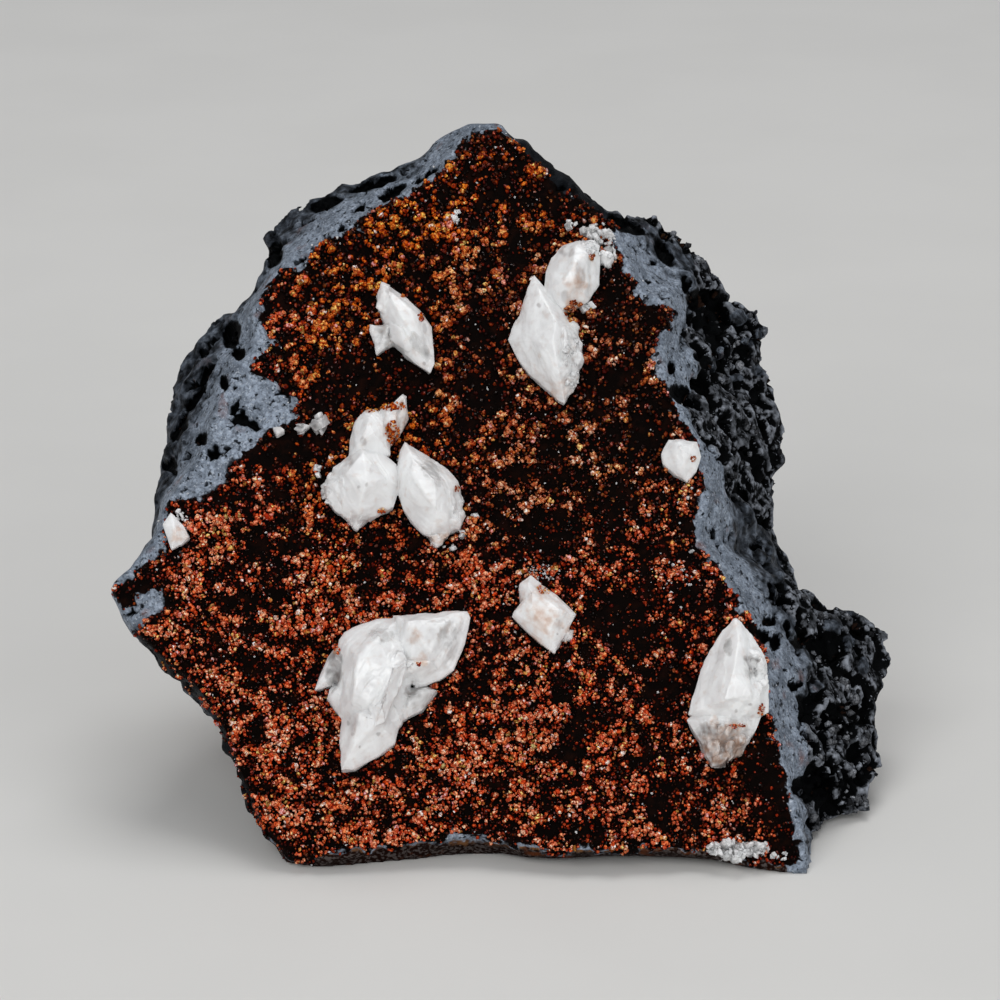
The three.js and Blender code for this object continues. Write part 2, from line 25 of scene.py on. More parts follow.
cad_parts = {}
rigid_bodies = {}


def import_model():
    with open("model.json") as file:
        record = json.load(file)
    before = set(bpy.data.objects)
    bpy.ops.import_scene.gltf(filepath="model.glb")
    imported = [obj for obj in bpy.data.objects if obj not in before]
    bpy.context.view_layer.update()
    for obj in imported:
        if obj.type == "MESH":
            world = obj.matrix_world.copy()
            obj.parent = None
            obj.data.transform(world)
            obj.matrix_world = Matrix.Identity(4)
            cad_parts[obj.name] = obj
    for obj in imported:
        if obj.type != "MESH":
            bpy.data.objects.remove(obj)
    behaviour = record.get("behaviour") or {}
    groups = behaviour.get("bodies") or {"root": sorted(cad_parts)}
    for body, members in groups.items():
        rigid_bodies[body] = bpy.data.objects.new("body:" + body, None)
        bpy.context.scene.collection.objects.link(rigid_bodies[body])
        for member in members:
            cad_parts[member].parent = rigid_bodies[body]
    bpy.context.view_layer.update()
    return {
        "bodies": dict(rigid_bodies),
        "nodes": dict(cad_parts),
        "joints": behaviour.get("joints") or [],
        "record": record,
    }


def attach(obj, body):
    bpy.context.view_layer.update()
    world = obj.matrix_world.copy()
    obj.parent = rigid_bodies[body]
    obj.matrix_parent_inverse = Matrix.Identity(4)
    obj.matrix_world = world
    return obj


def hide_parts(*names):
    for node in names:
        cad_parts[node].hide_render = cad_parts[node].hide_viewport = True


MM = 0.001
BODY = "root"
PAINT_SLANT = math.tan(math.radians(15))  # marks are laid on 15 degrees below the face's normal
WEIGHT_STEPS = 16  # steps that the weight of a vertex is rounded to
WELD = 0.005  # mm between corners of triangles that are one vertex

log = logging.getLogger("specimen")

Outline = Sequence[tuple[float, float]]

# The edge of the rust-red grains on the face, clockwise from the top.
DRUSE_EDGE: Outline = (
    (-1.5, 44), (2.5, 41.5), (6.5, 37), (11, 34), (13, 32.5), (13.5, 29.5), (14, 26),
    (16.5, 23), (20, 22.5), (18.5, 19.5), (17, 18), (17, 15.5), (18, 13), (20, 9.5), (21.5, 7),
    (22.5, 3), (22, -0.5), (21.5, -3.5), (21.5, -5.5), (23.5, -7.5), (25.5, -10), (26.5, -12.5),
    (29, -16), (29, -21.5), (30, -26.5), (30.8, -31.5), (31.8, -35.5), (32.3, -40.5), (29, -40.5),
    (23.5, -39), (17, -39), (11, -39), (4.5, -39.5), (0.5, -38), (-3, -37), (-7.5, -38),
    (-13, -38.5), (-17, -39.5), (-21.5, -40.5), (-24.5, -40), (-26.6, -35.8), (-28.7, -32.2),
    (-29.7, -27.2), (-32.1, -22.9), (-36.4, -18.9), (-39.5, -15.5), (-41.5, -12.5), (-42.5, -10),
    (-38.5, -7.5), (-36.5, -3.5), (-36.5, 0), (-33, 0.5), (-30.5, 2), (-30, 4.5), (-26.5, 7),
    (-23, 9.5), (-22.5, 11.5), (-25.5, 14), (-27.5, 15), (-25.5, 18.5), (-26.5, 20.5),
    (-27, 23.5), (-24.5, 27), (-22, 27.5), (-20, 30), (-13, 34.5), (-8, 37), (-6, 39.5),
    (-3.5, 42.5),
)

# Where the slate-grey rim on the right gives way to the charcoal hollows, from the foot up.
SLATE_LIMIT: Outline = (
    (34.5, -42), (33.8, -37.5), (31.8, -32.3), (34.4, -30.2), (34.6, -27.3), (33.5, -22.8),
    (34.1, -17.6), (31.7, -11.7), (31.2, -6.8), (30.6, -4.5), (28, -1.7), (24.3, 2.8),
    (23.6, 5.1), (21.2, 8.5), (20.6, 11.4), (23.4, 14.8), (20.4, 18.8), (21.6, 24), (21.8, 27.3),
    (19, 32.4), (12, 33.6),
)


# ---- small tools --------------------------------------------------------------------------


def linear(colour: str) -> tuple[float, float, float, float]:
    """Turns an sRGB colour to linear light.

    Args:
        colour: Six hex digits after a hash.

    Returns:
        Linear red, green and blue, and an alpha of 1.
    """
    values = [int(colour[i : i + 2], 16) / 255 for i in (1, 3, 5)]
    toe = [v / 12.92 if v <= 0.04045 else ((v + 0.055) / 1.055) ** 2.4 for v in values]
    return (toe[0], toe[1], toe[2], 1.0)


def add_node(
    tree: bpy.types.NodeTree,
    kind: str,
    inputs: dict[str | int, Any] | None = None,
    **settings: Any,
) -> bpy.types.Node:
    """Adds a node with its settings, its values and its links.

    Args:
        tree: The node tree of the material or world.
        kind: The node's type name without "ShaderNode".
        inputs: A value or an output socket for each input that isn't left at its default.
        **settings: Properties of the node.

    Returns:
        The new node.
    """
    node = tree.nodes.new("ShaderNode" + kind)
    for name, value in settings.items():
        setattr(node, name, value)
    for name, value in (inputs or {}).items():
        if isinstance(value, bpy.types.NodeSocket):
            tree.links.new(value, node.inputs[name])
        else:
            node.inputs[name].default_value = value
    return node


def smooth(low: float, high: float, values: np.ndarray) -> np.ndarray:
    """Rises smoothly from 0 at low to 1 at high."""
    t = np.clip((values - low) / (high - low), 0, 1)
    return t * t * (3 - 2 * t)


def terraces(values: np.ndarray, low: float, high: float) -> np.ndarray:
    """Turns a smooth slope to level steps of 1, each with a rise from low to high of its run."""
    step = np.floor(values)
    return step + smooth(low, high, values - step)


def scramble(cells: np.ndarray, seed: int) -> np.ndarray:
    """A random number from 0 to 1 for each lattice cell, always the same for the same cell.

    Args:
        cells: One row of whole numbers for each cell.
        seed: Picks one of many different patterns.

    Returns:
        The number of each cell.
    """
    # The factors are large primes and odd numbers that mix all the bits of a cell's numbers.
    primes = np.array([73856093, 19349663, 83492791][: cells.shape[1]])
    key = (cells.astype(np.int64) * primes).sum(axis=1) + seed * 2654435761
    key = (key ^ (key >> 13)) * 1274126177 & 0xFFFFFFFF
    key = (key ^ (key >> 16)) * 2246822519 & 0xFFFFFFFF
    return (key >> 8 & 0xFFFF) / 0xFFFF


def lattice_noise(places: np.ndarray, size: float, seed: int) -> np.ndarray:
    """Smooth value noise.

    Args:
        places: One row for each point, in mm, with two or three columns.
        size: Distance between lattice points in mm.
        seed: Picks one of many different patterns.

    Returns:
        One value for each point, from -1 to 1.
    """
    cells = np.floor(places / size)
    t = places / size - cells
    t = t * t * (3 - 2 * t)
    total = np.zeros(len(places))
    for corner in np.ndindex(*(2,) * places.shape[1]):
        steps = np.array(corner)
        weight = np.prod(np.where(steps, t, 1 - t), axis=1)
        total += weight * scramble(cells + steps, seed)
    return total * 2 - 1


def nearest_seed(places: np.ndarray, size: float, seed: int) -> np.ndarray:
    """Distance to the nearest of many scattered seeds, as a part of their spacing.

    Args:
        places: One row for each point, in mm.
        size: Spacing of the seeds in mm.
        seed: Picks one of many different scatters.

    Returns:
        0 at a seed, to about 1 between seeds.
    """
    home = np.floor(places / size)
    nearest = np.full(len(places), np.inf)
    for step in np.ndindex(*(3,) * places.shape[1]):
        cell = home + np.array(step) - 1
        jitter = [scramble(cell, seed + axis) for axis in range(places.shape[1])]
        gap = np.linalg.norm(places / size - cell - np.column_stack(jitter), axis=1)
        nearest = np.minimum(nearest, gap)
    return nearest


def depth_inside(points: np.ndarray, outline: Outline) -> np.ndarray:
    """How far points lie inside a closed outline.

    Args:
        points: One row of x and y for each point.
        outline: The corners of the outline in order.

    Returns:
        Distance from the outline, positive inside and negative outside.
    """
    corners = np.array(outline, dtype=float)
    nearest = np.full(len(points), np.inf)
    inside = np.zeros(len(points), dtype=bool)
    x, y = points[:, 0], points[:, 1]
    for a, b in zip(corners, np.roll(corners, -1, axis=0)):
        side = b - a
        t = np.clip(((points - a) @ side) / (side @ side), 0, 1)
        nearest = np.minimum(nearest, np.linalg.norm(points - a - t[:, None] * side, axis=1))
        if a[1] != b[1]:
            crosses = (a[1] > y) != (b[1] > y)
            inside ^= crosses & (x < side[0] * (y - a[1]) / side[1] + a[0])
    return np.where(inside, nearest, -nearest)


def select_only(piece: bpy.types.Object) -> None:
    """Makes one object the only selected and the active one.

    Args:
        piece: The object.
    """
    bpy.ops.object.select_all(action="DESELECT")
    piece.select_set(True)
    bpy.context.view_layer.objects.active = piece


def apply_modifier(piece: bpy.types.Object, kind: str, **settings: Any) -> None:
    """Adds a modifier with its settings and applies it at once.

    Args:
        piece: The piece.
        kind: The type of the modifier.
        **settings: Properties of the modifier.
    """
    select_only(piece)
    modifier = piece.modifiers.new(kind.lower(), kind)
    for name, value in settings.items():
        setattr(modifier, name, value)
    bpy.ops.object.modifier_apply(modifier=modifier.name)


def merged_copy(node: bpy.types.Object, name: str) -> bpy.types.Object:
    """Copies a CAD node with its own mesh, and joins the copy's loose triangles.

    Args:
        node: The CAD node's object.
        name: Name of the copy.

    Returns:
        The copy, a closed mesh.
    """
    piece = bpy.data.objects.new(name, node.data.copy())
    piece.data.name = name
    bpy.context.scene.collection.objects.link(piece)
    piece.data.materials.clear()
    select_only(piece)
    bpy.ops.object.mode_set(mode="EDIT")
    bpy.ops.mesh.select_all(action="SELECT")
    bpy.ops.mesh.remove_doubles(threshold=WELD * MM)
    bpy.ops.object.mode_set(mode="OBJECT")
    return piece


def positions(piece: bpy.types.Object) -> np.ndarray:
    """The piece's vertices in metres, one row each.

    Args:
        piece: The piece.

    Returns:
        x, y and z of each vertex.
    """
    flat = np.empty(len(piece.data.vertices) * 3)
    piece.data.vertices.foreach_get("co", flat)
    return flat.reshape(-1, 3)


def set_positions(piece: bpy.types.Object, points: np.ndarray) -> None:
    """Moves the piece's vertices to new places in metres."""
    piece.data.vertices.foreach_set("co", points.ravel())
    piece.data.update()


def vertex_normals(piece: bpy.types.Object) -> np.ndarray:
    """The piece's vertex normals, one row each.

    Args:
        piece: The piece.

    Returns:
        The unit normal of each vertex.
    """
    flat = np.empty(len(piece.data.vertices) * 3)
    piece.data.vertices.foreach_get("normal", flat)
    return flat.reshape(-1, 3)


def face_normals(piece: bpy.types.Object) -> np.ndarray:
    """The face normals, one row each.

    Args:
        piece: The piece.

    Returns:
        The unit normal of each face.
    """
    values = np.empty(len(piece.data.polygons) * 3, dtype=np.float32)
    piece.data.polygons.foreach_get("normal", values)
    return values.reshape(-1, 3)


def levelled(piece: bpy.types.Object, values: np.ndarray, rounds: int) -> np.ndarray:
    """Evens out what each vertex holds with its neighbours.

    Args:
        piece: The piece.
        values: One row for each vertex.
        rounds: How many times each row is moved halfway to its neighbours' mean.

    Returns:
        The levelled rows.
    """
    count = len(values)
    ends = np.empty(len(piece.data.edges) * 2, dtype=np.int32)
    piece.data.edges.foreach_get("vertices", ends)
    one, other = ends[::2], ends[1::2]
    near, far = np.concatenate([one, other]), np.concatenate([other, one])
    neighbours = np.maximum(np.bincount(near, minlength=count), 1)
    for _ in range(rounds):
        sums = [np.bincount(near, column[far], count) for column in values.T]
        values = 0.5 * values + 0.5 * np.column_stack(sums) / neighbours[:, None]
    return values


def proudness(piece: bpy.types.Object, rounds: int = 10) -> np.ndarray:
    """How far each vertex stands out from the ground round it.

    Args:
        piece: The piece.
        rounds: How many times the ground is levelled to compare with.

    Returns:
        The height of each vertex over the levelled ground in mm, negative in a crevice.
    """
    points = positions(piece)
    level = levelled(piece, points, rounds)
    return ((points - level) * vertex_normals(piece)).sum(axis=1) / MM


def thickness(piece: bpy.types.Object, most: float) -> np.ndarray:
    """How thick the piece is behind each vertex.

    Args:
        piece: The piece.
        most: The thickness in mm that it stops at.

    Returns:
        The thickness in mm round each vertex.
    """
    tree = BVHTree.FromObject(piece, bpy.context.evaluated_depsgraph_get())
    normals = vertex_normals(piece)
    starts = positions(piece) - normals * 0.02 * MM
    hits = (tree.ray_cast(Vector(start), Vector(-normal), most * MM)[3]
            for start, normal in zip(starts, normals))
    thick = np.array([most if far is None else far / MM for far in hits])
    return levelled(piece, thick[:, None], 8)[:, 0]


def paint(
    piece: bpy.types.Object, name: str, colours: np.ndarray, domain: str = "POINT"
) -> None:
    """Stores a colour for each point or face corner under a name that a material can read."""
    layer = piece.data.color_attributes.new(name, "FLOAT_COLOR", domain)
    layer.data.foreach_set("color", colours.astype(np.float32).ravel())


def weigh(piece: bpy.types.Object, name: str, weights: np.ndarray) -> None:
    """Makes a vertex group from a weight for each vertex, rounded to a few steps.

    Args:
        piece: The piece.
        name: Name of the group.
        weights: A weight from 0 to 1 for each vertex.
    """
    group = piece.vertex_groups.new(name=name)
    steps = np.round(np.clip(weights, 0, 1) * WEIGHT_STEPS).astype(int)
    for step in range(1, WEIGHT_STEPS + 1):
        members = np.flatnonzero(steps == step)
        if len(members):
            group.add(members.tolist(), step / WEIGHT_STEPS, "REPLACE")


def shade_smooth(piece: bpy.types.Object) -> None:
    """Shades the piece's faces smoothly."""
    piece.data.polygons.foreach_set("use_smooth", np.ones(len(piece.data.polygons), dtype=bool))
    piece.data.update()


def finish_piece(
    piece: bpy.types.Object, material: bpy.types.Material, stands_for: str = ""
) -> None:
    """Gives a piece its material and its body, and hides the CAD node that it stands for.

    Args:
        piece: The piece.
        material: What it is made of.
        stands_for: The CAD node that it replaces, if it does.
    """
    piece.data.materials.clear()
    piece.data.materials.append(material)
    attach(piece, BODY)
    if stands_for:
        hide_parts(stands_for)
    log.info("%s: %d faces", piece.name, len(piece.data.polygons))


# ---- the face's frame ---------------------------------------------------------------------


@dataclass(frozen=True)
class DruseFace:
    """The frame of the druse: x to the right, y up the leaning face, z out of it, in mm."""

    origin: tuple[float, float, float] = (-0.98, -5.31, 34.5)
    lean: float = 35.0  # degrees back from upright

    def axes(self) -> np.ndarray:
        """The face's three axes in the row's frame, one row each."""
        lean = math.radians(self.lean)
        sine, cosine = math.sin(lean), math.cos(lean)
        return np.array([[1, 0, 0], [0, sine, cosine], [0, -cosine, sine]])

    def places(self, points: np.ndarray) -> np.ndarray:
        """Turns points in metres in the row's frame to mm in the face's frame."""
        return (points / MM - np.array(self.origin)) @ self.axes().T

    def points(self, places: np.ndarray) -> np.ndarray:
        """Turns mm in the face's frame to metres in the row's frame."""
        return (places @ self.axes() + np.array(self.origin)) * MM

    def painted(self, places: np.ndarray) -> np.ndarray:
        """Where places fall on the face's plane along the line that marks are laid on by."""
        return np.column_stack([places[:, 0], places[:, 1] + PAINT_SLANT * places[:, 2]])

    def outwards(self) -> Vector:
        """The direction that the face looks in."""
        return Vector(self.axes()[2])


FACE = DruseFace()


@dataclass(frozen=True)
class Oval:
    """An oval patch: its middle and its two radii in mm, and its turn in degrees."""

    x: float
    y: float
    rx: float
    ry: float
    turn: float = 0.0

    def cover(self, points: np.ndarray, soft: float = 0.45) -> np.ndarray:
        """How much of the patch each point has: 1 in its middle, 0 outside.

        Args:
            points: One row of x and y for each point.
            soft: Half the width of the soft edge, as a part of the radius.

        Returns:
            The share of each point.
        """
        angle = math.radians(self.turn)
        x, y = points[:, 0] - self.x, points[:, 1] - self.y
        along = (x * math.cos(angle) + y * math.sin(angle)) / self.rx
        across = (y * math.cos(angle) - x * math.sin(angle)) / self.ry
        return 1 - smooth(1 - soft, 1 + soft, np.hypot(along, across))

    def scatter(self, count: int, chance: np.random.Generator) -> np.ndarray:
        """Random points in the patch, one row each.

        Args:
            count: How many.
            chance: Source of random numbers.

        Returns:
            x and y of each point.
        """
        angle, reach = chance.uniform(0, 2 * np.pi, count), chance.uniform(0, 1, count) ** 0.5
        x, y = self.rx * reach * np.cos(angle), self.ry * reach * np.sin(angle)
        turn = math.radians(self.turn)
        return np.column_stack([self.x + x * math.cos(turn) - y * math.sin(turn),
                                self.y + x * math.sin(turn) + y * math.cos(turn)])


def most_cover(ovals: Sequence[Oval], points: np.ndarray, soft: float = 0.45) -> np.ndarray:
    """How much each point has of the patch that covers it most.

    Args:
        ovals: The patches.
        points: One row of x and y for each point.
        soft: Half the width of a patch's soft edge, as a part of its radius.

    Returns:
        A value from 0 to 1 for each point.
    """
    most = np.zeros(len(points))
    for oval in ovals:
        most = np.maximum(most, oval.cover(points, soft))
    return most


def strayed(places: np.ndarray, reach: float, size: float, seed: int) -> np.ndarray:
    """Where marks fall, each moved a little so that no patch is a true oval.

    Args:
        places: Places in the face's frame.
        reach: How far they are moved in mm.
        size: Size in mm of the waves that this gives an edge.
        seed: Picks the pattern of the waves, together with the number after it.

    Returns:
        x and y of each place on the face's plane.
    """
    stray = [lattice_noise(places, size, seed + axis) for axis in range(2)]
    return FACE.painted(places) + reach * np.column_stack(stray)


# ---- finishes -----------------------------------------------------------------------------


def swayed(
    tree: bpy.types.NodeTree,
    value: bpy.types.NodeSocket,
    noise: bpy.types.NodeSocket,
    reach: float,
) -> bpy.types.NodeSocket:
    """A value that noise from 0 to 1 moves down and up by as much as the reach."""
    offset = add_node(tree, "MapRange", {"Value": noise, "To Min": -reach, "To Max": reach})
    return add_node(tree, "Math", {0: value, 1: offset.outputs[0]}, operation="ADD").outputs[0]


def ragged(
    tree: bpy.types.NodeTree,
    mask: bpy.types.NodeSocket,
    edge: bpy.types.NodeSocket,
    soft: float,
    stray: float = 0.3,
) -> bpy.types.NodeSocket:
    """Breaks up the soft edge of a mask.

    Args:
        tree: The material's node tree.
        mask: A value that crosses a half at the edge.
        edge: Noise from 0 to 1 that moves the edge about.
        soft: Half the width of the broken edge, as a part of the mask.
        stray: How far the noise moves the edge, as a part of the mask.

    Returns:
        The mask with a ragged edge.
    """
    moved = swayed(tree, mask, edge, stray)
    limits = {"Value": moved, "From Min": 0.5 - soft, "From Max": 0.5 + soft}
    return add_node(tree, "MapRange", limits, interpolation_type="SMOOTHSTEP").outputs[0]


def blend(
    tree: bpy.types.NodeTree,
    factor: bpy.types.NodeSocket | float,
    first: Any,
    second: Any,
    how: str = "MIX",
) -> bpy.types.NodeSocket:
    """Mixes two colours, each a socket or a linear colour, by a factor.

    Args:
        tree: The material's node tree.
        factor: Share of the second colour.
        first: The first colour.
        second: The second colour.
        how: The way of mixing.

    Returns:
        The mixed colour.
    """
    inputs = {0: factor, 6: first, 7: second}
    return add_node(tree, "Mix", inputs, data_type="RGBA", blend_type=how).outputs[2]


def speckle(
    tree: bpy.types.NodeTree, size: float, low: float, high: float, detail: float = 3.0
) -> bpy.types.NodeSocket:
    """Noise over the piece, stretched between two limits.

    Args:
        tree: The material's node tree.
        size: Size of its features in mm.
        low: The noise value that becomes 0.
        high: The noise value that becomes 1.
        detail: Octaves of finer noise.

    Returns:
        A value from 0 to 1.
    """
    place = add_node(tree, "TexCoord").outputs["Object"]
    inputs = {"Vector": place, "Scale": 1 / (size * MM), "Detail": detail}
    return stretch(tree, add_node(tree, "TexNoise", inputs).outputs[0], low, high)


def stretch(
    tree: bpy.types.NodeTree, value: bpy.types.NodeSocket, low: float, high: float,
    most: float = 1.0,
) -> bpy.types.NodeSocket:
    """Maps a value from 0 at low to the most at high."""
    limits = {"Value": value, "From Min": low, "From Max": high, "To Max": most}
    return add_node(tree, "MapRange", limits).outputs[0]


def painted_light_and_powder(
    tree: bpy.types.NodeTree, stand: bpy.types.NodeSocket, size: float, share: float
) -> bpy.types.NodeSocket:
    """How proud the ground stands, with a share of noise of a size in mm on top."""
    return swayed(tree, stand, speckle(tree, size, 0.3, 0.7, 4), share)


def new_material(
    name: str, constants: dict[str, Any]
) -> tuple[bpy.types.Material, bpy.types.NodeTree, bpy.types.Node]:
    """Makes a material with one shader and no pattern yet.

    Args:
        name: Name of the material.
        constants: The shader's own values.

    Returns:
        The material, its node tree, and its Principled shader, linked to the output.
    """
    material = bpy.data.materials.new(name)
    material.use_nodes = True
    tree = material.node_tree
    tree.nodes.clear()
    shader = add_node(tree, "BsdfPrincipled", constants)
    add_node(tree, "OutputMaterial", {"Surface": shader.outputs[0]})
    return material, tree, shader


def grade(
    tree: bpy.types.NodeTree,
    shader: bpy.types.Node,
    share: bpy.types.NodeSocket,
    limits: dict[str, tuple[float, float]],
) -> None:
    """Takes inputs of a shader from one value to another.

    Args:
        tree: The material's node tree.
        shader: The shader.
        share: A value from 0, for the first, to 1.
        limits: The two values of each input.
    """
    for name, (first, last) in limits.items():
        inputs = {"Value": share, "To Min": first, "To Max": last}
        tree.links.new(add_node(tree, "MapRange", inputs).outputs[0], shader.inputs[name])


@dataclass(frozen=True)
class LimoniteFinish:
    """Limonite and goethite, broken by hammer: slate-grey metallic skin with a faint sheen,
    charcoal hollows with grey lips of painted light, rusty bed under the druse, dull ochre-brown
    back."""

    slate_light: str = "#9AA5B4"
    slate_dark: str = "#6B7480"
    slate_fleck: str = "#171B20"
    slate_dim: str = "#3C4149"
    slate_rust: str = "#7A6566"
    slate_glint: str = "#C2C9D2"
    charcoal_highlight: str = "#8D929B"
    charcoal_dark: str = "#040506"
    bed_dark: str = "#060201"
    bed_rust: str = "#170703"
    brown_dark: str = "#22150F"
    brown_mid: str = "#6B4A33"
    brown_dull: str = "#453126"
    brown_ochre: str = "#94693F"
    lip: str = "#4E4745"
    lip_rust: str = "#5C3018"
    ior: float = 1.5  # goethite is over 2, but its weathered skin and its dust hardly shine
    shine: float = 0.04
    roughness: tuple[float, float] = (0.8, 0.5)  # of the dull ground and of the slate skin
    metal: tuple[float, float] = (0.0, 0.3)
    grit: float = 0.35  # mm, as coarse as it needs to be to show
    grit_height: float = 0.12

    def material(self) -> bpy.types.Material:
        """The limonite material, which reads the block's ground and relief attributes.

        Returns:
            The material.
        """
        shine = {"IOR": self.ior, "Specular IOR Level": self.shine}
        material, tree, shader = new_material("limonite", shine)
        ground = add_node(tree, "Attribute", attribute_name="ground")
        parts = add_node(tree, "SeparateColor", {0: ground.outputs["Color"]})
        druse, slate, charcoal = parts.outputs[:3]
        relief = add_node(tree, "Attribute", attribute_name="relief").outputs["Color"]
        lip, dim, stand = add_node(tree, "SeparateColor", {0: relief}).outputs[:3]
        edge = speckle(tree, 1.1, 0.3, 0.7)

        front = add_node(tree, "VectorMath", {0: ground.outputs["Color"], 1: (1, 1, 1)},
                         operation="DOT_PRODUCT").outputs["Value"]
        skin = ragged(tree, front, edge, 0.12)
        # Painted shade: the slate rim darkens towards near black where dim is high, further behind
        # the face and under the shaded patches.
        rim = blend(tree, ragged(tree, dim, edge, 0.45), self.slate(tree, stand),
                    blend(tree, edge, linear(self.slate_dim), linear(self.charcoal_dark)))
        rim = blend(tree, stretch(tree, dim, 0.9, 1.3, 0.8), rim, linear(self.charcoal_dark))
        rim = blend(tree, ragged(tree, charcoal, edge, 0.2), rim, self.charcoal(tree, stand))
        # Painted shade: pits and deep crevices turn near black.
        rim = blend(tree, stretch(tree, stand, 0.24, 0.04), rim, linear(self.charcoal_dark))
        colour = blend(tree, skin, self.brown(tree, stand), rim)
        rough_lip = blend(tree, speckle(tree, 0.4, 0.4, 0.52, 6), linear(self.lip),
                          linear(self.bed_rust))
        rough_lip = blend(tree, speckle(tree, 2.6, 0.56, 0.7), rough_lip,
                          linear(self.lip_rust))
        colour = blend(tree, ragged(tree, lip, edge, 0.2), colour, rough_lip)
        colour = blend(tree, ragged(tree, druse, edge, 0.1), colour, self.bed(tree))
        tree.links.new(colour, shader.inputs["Base Color"])

        grade(tree, shader, slate, {"Roughness": self.roughness, "Metallic": self.metal})
        grit = add_node(tree, "Bump", {"Height": speckle(tree, self.grit, 0.3, 0.7, 4),
                                       "Strength": 0.7, "Distance": self.grit_height * MM})
        tree.links.new(grit.outputs[0], shader.inputs["Normal"])
        return material

    def slate(
        self, tree: bpy.types.NodeTree, stand: bpy.types.NodeSocket
    ) -> bpy.types.NodeSocket:
        """Slate-grey skin, finely granular, with painted shade in its crevices, painted glints and
        a few rusty patches.

        Args:
            tree: The material's node tree.
            stand: How proud each place stands.

        Returns:
            The colour.
        """
        colour = blend(tree, speckle(tree, 1.6, 0.36, 0.56, 5), linear(self.slate_dark),
                       linear(self.slate_light))
        place = add_node(tree, "TexCoord").outputs["Object"]
        cells = {"Vector": place, "Scale": 1 / (0.6 * MM)}
        far = add_node(tree, "TexVoronoi", cells, feature="F1").outputs[0]
        joint = stretch(tree, far, 0.35, 0.8, 0.75)
        colour = blend(tree, joint, colour, linear(self.slate_dark))
        colour = blend(tree, speckle(tree, 0.7, 0.59, 0.66), colour, linear(self.slate_fleck))
        colour = blend(tree, speckle(tree, 3.3, 0.62, 0.74), colour, linear(self.slate_rust))
        grain = stretch(tree, speckle(tree, 0.3, 0.48, 0.66), 0, 1, 0.6)
        colour = blend(tree, grain, colour, linear(self.slate_dim))
        # Painted glints: fine pale specks.
        glint = stretch(tree, speckle(tree, 0.26, 0.58, 0.68), 0, 1, 0.55)
        colour = blend(tree, glint, colour, linear(self.slate_glint))
        # Painted shade in the crevices.
        crevice = stretch(tree, painted_light_and_powder(tree, stand, 0.5, 0.1), 0.44, 0.3, 0.9)
        return blend(tree, crevice, colour, linear(self.slate_fleck))

    def charcoal(
        self, tree: bpy.types.NodeTree, stand: bpy.types.NodeSocket
    ) -> bpy.types.NodeSocket:
        """Charcoal whose proud edges and knobs are painted grey as lit, with fine grey specks of
        painted sparkle.

        Args:
            tree: The material's node tree.
            stand: How proud each place stands.

        Returns:
            The colour.
        """
        # Painted light: grey where the charcoal stands proud, dark in its crevices.
        lit = stretch(tree, painted_light_and_powder(tree, stand, 0.6, 0.35), 0.5, 1.1)
        colour = blend(tree, lit, linear(self.charcoal_dark), linear(self.charcoal_highlight))
        shade_of = stretch(tree, speckle(tree, 2.2, 0.42, 0.6), 0, 1, 0.75)
        colour = blend(tree, shade_of, colour, linear(self.charcoal_dark))
        # Painted sparkle: fine grey specks.
        return blend(tree, speckle(tree, 0.4, 0.64, 0.72), colour, linear(self.charcoal_highlight))

    def brown(
        self, tree: bpy.types.NodeTree, stand: bpy.types.NodeSocket
    ) -> bpy.types.NodeSocket:
        """Brown limonite: ochre powder on what stands proud, painted shade in the crevices.

        Args:
            tree: The material's node tree.
            stand: How proud each place stands.

        Returns:
            The colour.
        """
        colour = blend(tree, speckle(tree, 11, 0.3, 0.7, 9), linear(self.brown_mid),
                       linear(self.brown_dull))
        proud = stretch(tree, painted_light_and_powder(tree, stand, 1.6, 0.25), 0.5, 0.95, 0.7)
        powder = add_node(tree, "Math", {0: proud, 1: speckle(tree, 7, 0.35, 0.6)},
                          operation="MULTIPLY").outputs[0]
        colour = blend(tree, powder, colour, linear(self.brown_ochre))
        # Painted shade in the crevices.
        crevice = stretch(tree, painted_light_and_powder(tree, stand, 1.1, 0.2), 0.46, 0.16)
        colour = blend(tree, crevice, colour, linear(self.brown_dark))
        return blend(tree, speckle(tree, 0.9, 0.52, 0.68, 6), colour, linear(self.brown_dark))

    def bed(self, tree: bpy.types.NodeTree) -> bpy.types.NodeSocket:
        """The nearly black bed that the grains stand on."""
        return blend(tree, speckle(tree, 1.3, 0.5, 0.75), linear(self.bed_dark),
                     linear(self.bed_rust))


@dataclass(frozen=True)
class GrainFinish:
    """Limonite grains: tiny rounded rust-red crystals, each with its own tint, satin, with painted
    glints where a facet faces the light and painted shade at the foot and in fine specks."""

    name: str = "limonite_grains"
    cleft_shade: str = "#8E5C4C"  # painted shade: multiplies the tint in fine specks, as in the clefts between the facets of a grain
    roughness: float = 0.42
    ior: float = 1.6
    shine: float = 0.05

    def material(self) -> bpy.types.Material:
        """The grains' material, which reads the tint of each grain.

        Returns:
            The material.
        """
        satin = {"Roughness": self.roughness, "IOR": self.ior, "Specular IOR Level": self.shine}
        material, tree, shader = new_material(self.name, satin)
        tint = add_node(tree, "Attribute", attribute_name="tint").outputs["Color"]
        shadow = speckle(tree, 0.2, 0.38, 0.56)
        darker = blend(tree, 1.0, tint, linear(self.cleft_shade), "MULTIPLY")
        tree.links.new(blend(tree, shadow, darker, tint), shader.inputs["Base Color"])
        return material


